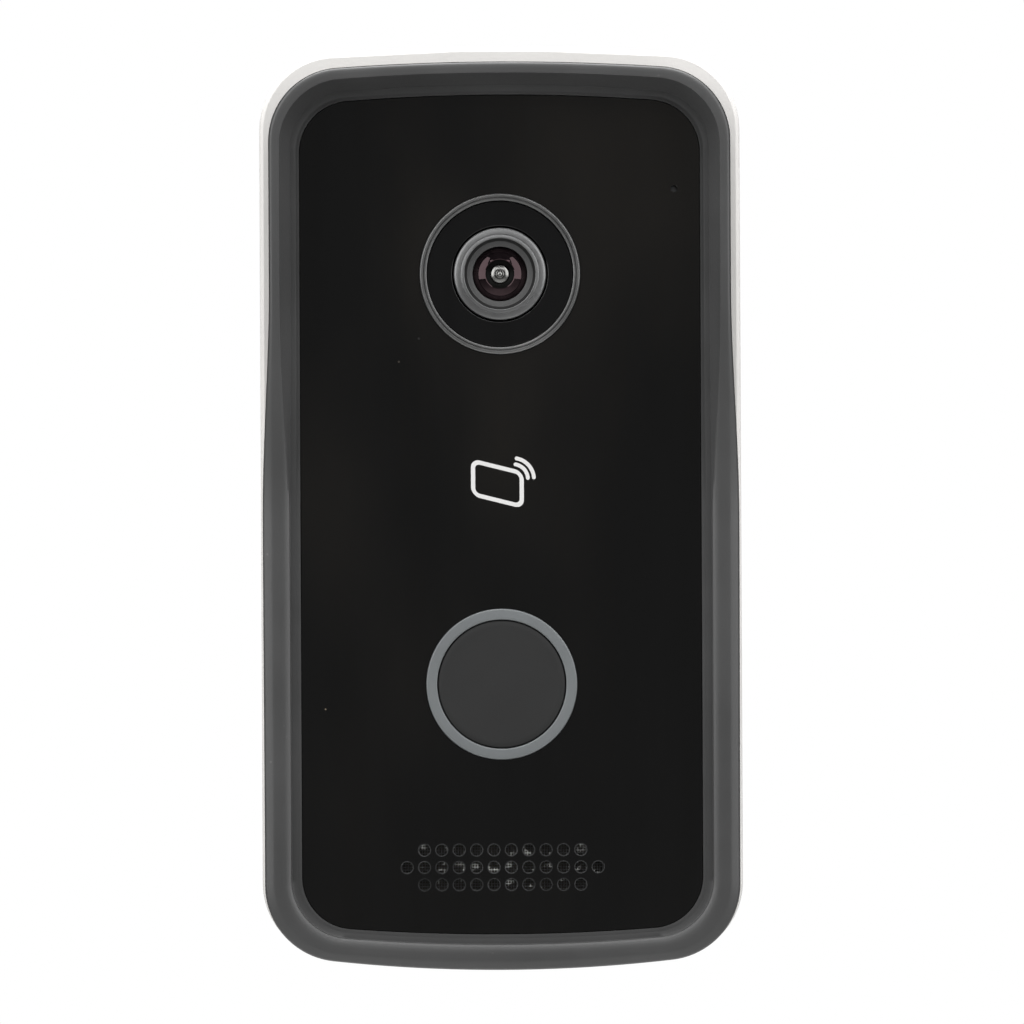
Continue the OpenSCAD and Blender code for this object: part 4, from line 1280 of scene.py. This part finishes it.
@dataclass
class CameraUnit(SubAssembly):
    """Trim ring, black window, lens barrel and glasses."""

    trim_w: float = 1.0
    trim_flange_w: float = 1.0
    proud: float = 0.35
    lens_back: float = 14.8
    head_l: float = 8.2
    thread_r: float = 6.0
    dome_r: float = 6.2
    dome_edge: float = 3.85
    pupil_r: float = 1.44
    iris_r: float = 2.08
    mouth_r: float = 5.14
    seat_r: float = 4.72
    bore_r: float = 3.9
    mouth_depth: float = 1.0
    dome_sink: float = 1.75
    dome_t: float = 2.0
    well_depth: float = 0.35

    def build(self) -> None:
        """Makes the pieces from the outside in."""
        self.axis = centre_of("lens_barrel")
        self.glass_d = front_of("front_glass")
        self.lens_d = front_of("lens_barrel")
        self.trim()
        window = Bench.refine("camera_window_disc", "camera_window", 0.12, 40.0, 3)
        self.hand_in(window, "black_window", "camera_window")
        self.barrel()
        self.front_glass()

    def trim(self) -> None:
        """Ring with a flat crown, a fine groove and a chamfer down to the window."""
        flange_r = radius_of("camera_trim_ring")
        outer = flange_r - self.trim_flange_w
        inner = outer - self.trim_w
        front = self.glass_d + self.proud
        back = back_of("camera_trim_ring")
        shelf = self.glass_d - SHELF_MM
        profile = [
            (inner, back), (flange_r, back), (flange_r, shelf), (outer, shelf),
            *stepped(
                (outer, front), (0, -0.16), (-0.16, 0), (-0.46, 0), (-0.49, -0.25), (-0.62, -0.25),
                (-0.65, -0.04),
            ),
            *stepped((inner, front), (0.04, -0.1), (0, -0.5)),
        ]
        rounded = soften(profile, 0.04, 2)
        ring = Bench.turn("camera_trim", self.axis, rounded, Ends.JOINED, 160, 35.0)
        self.hand_in(ring, "grey_trim", "camera_trim_ring")

    def barrel(self) -> None:
        """Lens barrel with a turned face, a stepped inner cone and its bore."""
        top = self.lens_d
        back = top - self.lens_back
        outer = radius_of("lens_barrel")
        profile = [
            (2.6, back), (self.thread_r, back), (self.thread_r, top - self.head_l),
            *stepped(
                (outer, top), (0, -self.head_l), (0, -0.6), (-0.12, -0.36), (-0.4, -0.25),
                (-0.92, -0.12), (-0.95, -0.17), (-1.01, -0.16), (-1.04, -0.09),
            ),
            *stepped(
                (0, top), (5.26, 0), (5.2, 0), (self.mouth_r, -0.04), (self.seat_r, -0.75),
                (3.95, -0.85), (3.95, -4.0), (3.1, -4.0),
            ),
            (3.1, back + 1.0),
        ]
        rounded = soften(profile, 0.05, 2)
        barrel = Bench.turn("lens_barrel_body", self.axis, rounded, Ends.JOINED, 144, 32.0)
        self.hand_in(barrel, "lens_metal", "lens_barrel")
        mouth = ("barrel_mouth", self.seat_r, self.mouth_r)
        bore = ("dark_plastic", self.bore_r, self.seat_r)
        for look, inner, outer in (mouth, bore):
            self.paint(barrel, look, lambda face: self.within(face, inner, outer))

    def within(self, face: bpy.types.MeshPolygon, inner: float, outer: float) -> bool:
        """Whether a face lies in the barrel's mouth between two radii."""
        spot = face.center / MM
        r = math.hypot(spot.x - self.axis[0], spot.z - self.axis[1])
        return inner < r < outer and -spot.y > self.lens_d - self.mouth_depth

    def front_glass(self) -> None:
        """Coated dome with the dark iris and the bright inner glass in the middle of it."""
        edge_d = self.lens_d - self.dome_sink
        back = edge_d - self.dome_t
        dome = self.dome(self.dome_r, self.dome_edge, edge_d, 30)
        crown = [spot for spot in dome if spot[0] > self.iris_r]
        rim_d = crown[-1][1]
        well = rim_d - self.well_depth
        inner = self.pupil_r
        iris_r, pupil_r = self.iris_r - 0.01, inner - 0.02
        ring = [(self.iris_r, back), (self.dome_edge, back), *crown, (self.iris_r, rim_d - 0.05)]
        iris = [
            (inner, back), (iris_r, back), (iris_r, well + 0.2), (inner + 0.05, well),
            (inner, well - 0.05),
        ]
        pupil = [
            (0.0, back + 0.1), (pupil_r, back + 0.1),
            *[s for s in self.dome(2.6, pupil_r, well - 0.3, 16) if s[0] > 0.78],
            *stepped(
                (0, well), (0.74, -0.12), (0.68, -0.1), (0.64, -0.2), (0.5, -0.12), (0.46, -0.2),
                (0.4, -0.2),
            ),
            *self.dome(0.5, 0.36, well - 0.16, 8),
        ]
        for name, profile, ends, steps, sharp, look in (
            ("lens_front_dome", ring, Ends.JOINED, 128, 40.0, "lens_coating"),
            ("lens_iris", iris, Ends.JOINED, 96, 40.0, "iris_blades"),
            ("lens_pupil", pupil, Ends.POLES, 96, 30.0, "pupil_glass"),
        ):
            piece = Bench.turn(name, self.axis, profile, ends, steps, sharp)
            self.hand_in(piece, "coated_glass", "lens_front_element", look=look)

    def dome(self, radius: float, edge: float, depth: float, steps: int) -> list[Flat]:
        """Profile of a dome from its edge to its pole."""
        sag = math.sqrt(radius**2 - edge**2)
        radii = [edge * (1 - i / steps) for i in range(steps + 1)]
        return [(r, depth - sag + math.sqrt(radius**2 - r**2)) for r in radii]


@dataclass
class CallButton(SubAssembly):
    """Call button's pad and the light ring round it."""

    pad_rise: float = 0.15
    dish: float = 0.12
    ring_w: float = 1.55
    gap: float = 0.1
    flange_extra: float = 1.05
    flange_t: float = 1.3
    stem_r: float = 2.5
    travel: float = 0.4
    play: float = 0.1
    edge_w: float = 0.25
    dish_rows: int = 14
    ring_rise: float = 0.35
    ring_edge: float = 0.02
    seat_w: float = 1.5
    seat_gap: float = 0.2
    seat_play: float = 0.15

    def build(self) -> None:
        """Makes the pad and the ring."""
        self.axis = centre_of("call_button")
        self.glass_d = front_of("front_glass")
        self.flange_r = radius_of("call_button")
        self.pad_r = self.flange_r - self.flange_extra
        self.pad()
        self.ring()

    def pad(self) -> None:
        """Dished pad with a rolled edge, its flange and its stem."""
        front = self.glass_d + self.pad_rise
        back = back_of("call_button")
        flange_back = self.flange_depth()
        flange_front = flange_back + self.flange_t
        start = self.pad_r - self.edge_w
        profile = [
            (0.0, back), (self.stem_r, back), (self.stem_r, flange_back),
            (self.flange_r, flange_back), (self.flange_r, flange_front), (self.pad_r, flange_front),
            (self.pad_r, front - 0.3), (self.pad_r - 0.08, front - 0.1), (start, front),
        ]
        for i in range(1, self.dish_rows + 1):
            r = start * (1 - i / self.dish_rows)
            profile.append((r, front - self.dish * (1 - (r / start) ** 2)))
        pad = Bench.turn("call_pad", self.axis, profile, Ends.POLES, 144, 40.0)
        self.hand_in(pad, "button_plastic", "call_button", body=Body.BUTTON)

    def flange_depth(self) -> float:
        """Depth of the back of the pad's flange."""
        return front_of("panel_carrier") + self.travel + self.play

    def ring(self) -> None:
        """Translucent ring with rolled edges and its seat behind the glass."""
        front = self.glass_d + self.ring_rise
        inner = self.pad_r + self.gap
        outer = inner + self.ring_w
        seat_r = self.flange_r + self.seat_gap
        seat_out = seat_r + self.seat_w
        seat_d = self.flange_depth() + self.flange_t + self.seat_play
        edge_d = front - self.ring_edge
        back = back_of("call_light_ring")
        shelf = self.glass_d - SHELF_MM
        profile = [
            (seat_r, back), (seat_out, back), (seat_out, shelf), (outer, shelf), (outer, edge_d),
            (inner, edge_d), (inner, seat_d), (seat_r, seat_d),
        ]
        rounded = soften(profile, 0.22, 4)
        ring = Bench.turn("call_ring", self.axis, rounded, Ends.JOINED, 160, 40.0)
        self.hand_in(ring, "light_ring", "call_light_ring")


@dataclass
class SpeakerFront(SubAssembly):
    """Woven wire mesh behind the grille holes."""

    pitch: float = 0.4
    wire_r: float = 0.068
    swing: float = 0.055
    sides: int = 4
    steps: int = 3
    margin: float = 0.5

    def build(self) -> None:
        """Makes the wires of both directions and joins them."""
        low, high = span("speaker_mesh")
        middle = (low + high) / 2
        size = high - low
        across, upright = (int((side - 2 * self.margin) / self.pitch) for side in (size.x, size.z))
        pieces = [
            *self.wires(middle, (1, 0), upright, across),
            *self.wires(middle, (0, 1), across, upright),
        ]
        mesh = Bench.join(pieces, "speaker_wire_mesh")
        Bench.pick(mesh)
        bpy.ops.object.shade_smooth()
        self.hand_in(mesh, "speaker_cloth", "speaker_mesh")

    def wires(
        self, middle: Vector, way: tuple[int, int], count: int, crossings: int
    ) -> list[Piece]:
        """Parallel wires that weave over and under those of the other direction.

        Args:
            middle: Middle of the mesh, in millimetres.
            way: Direction of the wires in X and Z.
            count: Number of wires.
            crossings: Wires that each one crosses.

        Returns:
            One object for even wires and one for odd wires.
        """
        made = []
        for parity in (0, 1):
            phase = math.pi * (parity + way[0])
            rings = []
            points = crossings * self.steps
            aside = (parity - count / 2) * self.pitch
            for i in range(points + 1):
                along = (i / self.steps - crossings / 2) * self.pitch
                rise = self.swing * math.cos(math.pi * i / self.steps + phase)
                rings.append(self.section(middle, way, along, rise, aside))
            wire = Bench.loft("mesh_wire", rings, Ends.CAPPED)
            step = 2 * self.pitch * MM
            Bench.modify(
                wire, "ARRAY", count=(count - parity + 1) // 2, use_relative_offset=False,
                use_constant_offset=True,
                constant_offset_displace=(step * way[1], 0.0, step * way[0]),
            )
            made.append(wire)
        return made

    def section(
        self, middle: Vector, way: tuple[int, int], along: float, rise: float, aside: float
    ) -> list[Point]:
        """Cross-section of a wire at one place."""
        ring = []
        for i in range(self.sides):
            angle = 2 * math.pi * i / self.sides
            sideways = aside + self.wire_r * math.cos(angle)
            depth = rise + self.wire_r * math.sin(angle)
            x = middle.x + (along if way[0] else sideways)
            z = middle.z + (along if way[1] else sideways)
            ring.append((x, middle.y - depth, z))
        return ring


@dataclass
class RearHousing(SubAssembly):
    """Pale rear housing with rolled edges."""

    back_edge: float = 0.8
    front_edge: float = 0.6
    rounding: float = 0.2
    front_d: float = 14.0
    slack: float = 0.02
    wall_slope: float = 0.1
    reach: float = 6.0

    def build(self) -> None:
        """Makes the housing."""
        housing = Bench.merged_copy("rear_housing_moulding", "rear_housing", flats=False)
        back_d = back_of("rear_housing")
        self.roll(housing, back_d + self.back_edge, self.back_edge, -self.back_edge)
        self.roll(housing, self.front_d - self.back_edge, self.front_edge, self.back_edge)
        Bench.join_flats(housing)
        Bench.round_edges(housing, self.rounding, 20.0, 2)
        Bench.smooth(housing, 50.0)
        self.hand_in(housing, "pale_plastic", "rear_housing")

    def roll(self, piece: Piece, depth: float, inset: float, run: float) -> None:
        """Turns a stepped edge of the shell into a rolled one.

        Args:
            piece: The housing.
            depth: Depth of the step, in millimetres.
            inset: How far the step goes in.
            run: How far it goes along, signed towards the front.
        """
        bm = bmesh.new()
        bm.from_mesh(piece.data)
        half = math.sqrt(0.5)
        low, high = span("rear_housing")
        moved = 0
        for vertex in bm.verts:
            x, y, z = vertex.co / MM
            walls = [f.normal for f in vertex.link_faces if abs(f.normal.y) < self.wall_slope]
            if abs(-y - depth) > self.slack or not walls:
                continue
            out = sum(walls, Vector()).normalized()
            others = [-edge.other_vert(vertex).co.y / MM for edge in vertex.link_edges]
            stepped = any(abs(other - depth - run) < self.slack for other in others)
            edge_gap = min(high.x - abs(x), high.z - z, z - low.z)
            if not stepped or edge_gap > self.reach or out.dot(Vector((x, 0, z))) <= 0:
                continue
            vertex.co += out * (inset * half * MM)
            vertex.co.y -= run * half * MM
            moved += 1
        bm.to_mesh(piece.data)
        bm.free()
        LOG.info("rolled %d points at depth %.1f", moved, depth)


class RefinedParts(SubAssembly):
    """Fasteners, wall bracket, and what shows in the cable bay."""

    def build(self) -> None:
        """Copies the parts and rounds their edges."""
        for name, node, body, slot, width in (
            ("housing_screw_set", "housing_screws", Body.UNIT, "screw_steel", 0.12),
            ("lock_screw_body", "lock_screw", Body.LOCK, "screw_steel", 0.15),
            ("wall_bracket_plate", "wall_bracket", Body.BRACKET, "zinc_plate", 0.14),
            ("network_jack_body", "network_jack", Body.UNIT, "black_plastic", 0.2),
            ("jack_contacts_body", "jack_contacts", Body.UNIT, "gold_plate", 0.06),
            ("terminal_block_body", "terminal_block", Body.UNIT, "green_plastic", 0.15),
            ("terminal_screws_body", "terminal_screws", Body.UNIT, "screw_steel", 0.1),
            ("reset_switch_body", "reset_switch", Body.UNIT, "black_plastic", 0.15),
            ("reset_stem_body", "reset_stem", Body.RESET, "white_plastic", 0.2),
            ("tamper_switch_body", "tamper_switch", Body.UNIT, "black_plastic", 0.15),
            ("tamper_plunger_body", "tamper_plunger", Body.TAMPER, "white_plastic", 0.25),
            ("main_board_body", "main_board", Body.UNIT, "circuit_board", 0.1),
        ):
            self.hand_in(Bench.refine(name, node, width), slot, node, body=body)


def main() -> None:
    """Builds the sub-assemblies in order."""
    logging.basicConfig(level=logging.INFO, format="%(message)s")
    bpy.context.scene.view_settings.view_transform = "Standard"
    for leftover in list(bpy.data.objects):
        if leftover.name in ("Cube", "Light", "Camera"):
            bpy.data.objects.remove(leftover)
    names = {
        node.name: [slot.material.name.split(".")[0] for slot in node.material_slots]
        for node in frame["nodes"].values()
    }
    for material in list(bpy.data.materials):
        material.name = f"packed_{material.name}"
    finishes = {finish.name: finish.build() for finish in FINISHES}
    for node in frame["nodes"].values():
        for place, slot in zip(node.material_slots, names[node.name]):
            place.material = finishes[slot]
    Studio().build()
    for part in (
        FrontFrame, GlassFront, CameraUnit, CallButton, SpeakerFront, RearHousing, RefinedParts
    ):
        LOG.info("building %s", part.__name__)
        part(finishes).build()


if __name__ == "__main__":
    main()
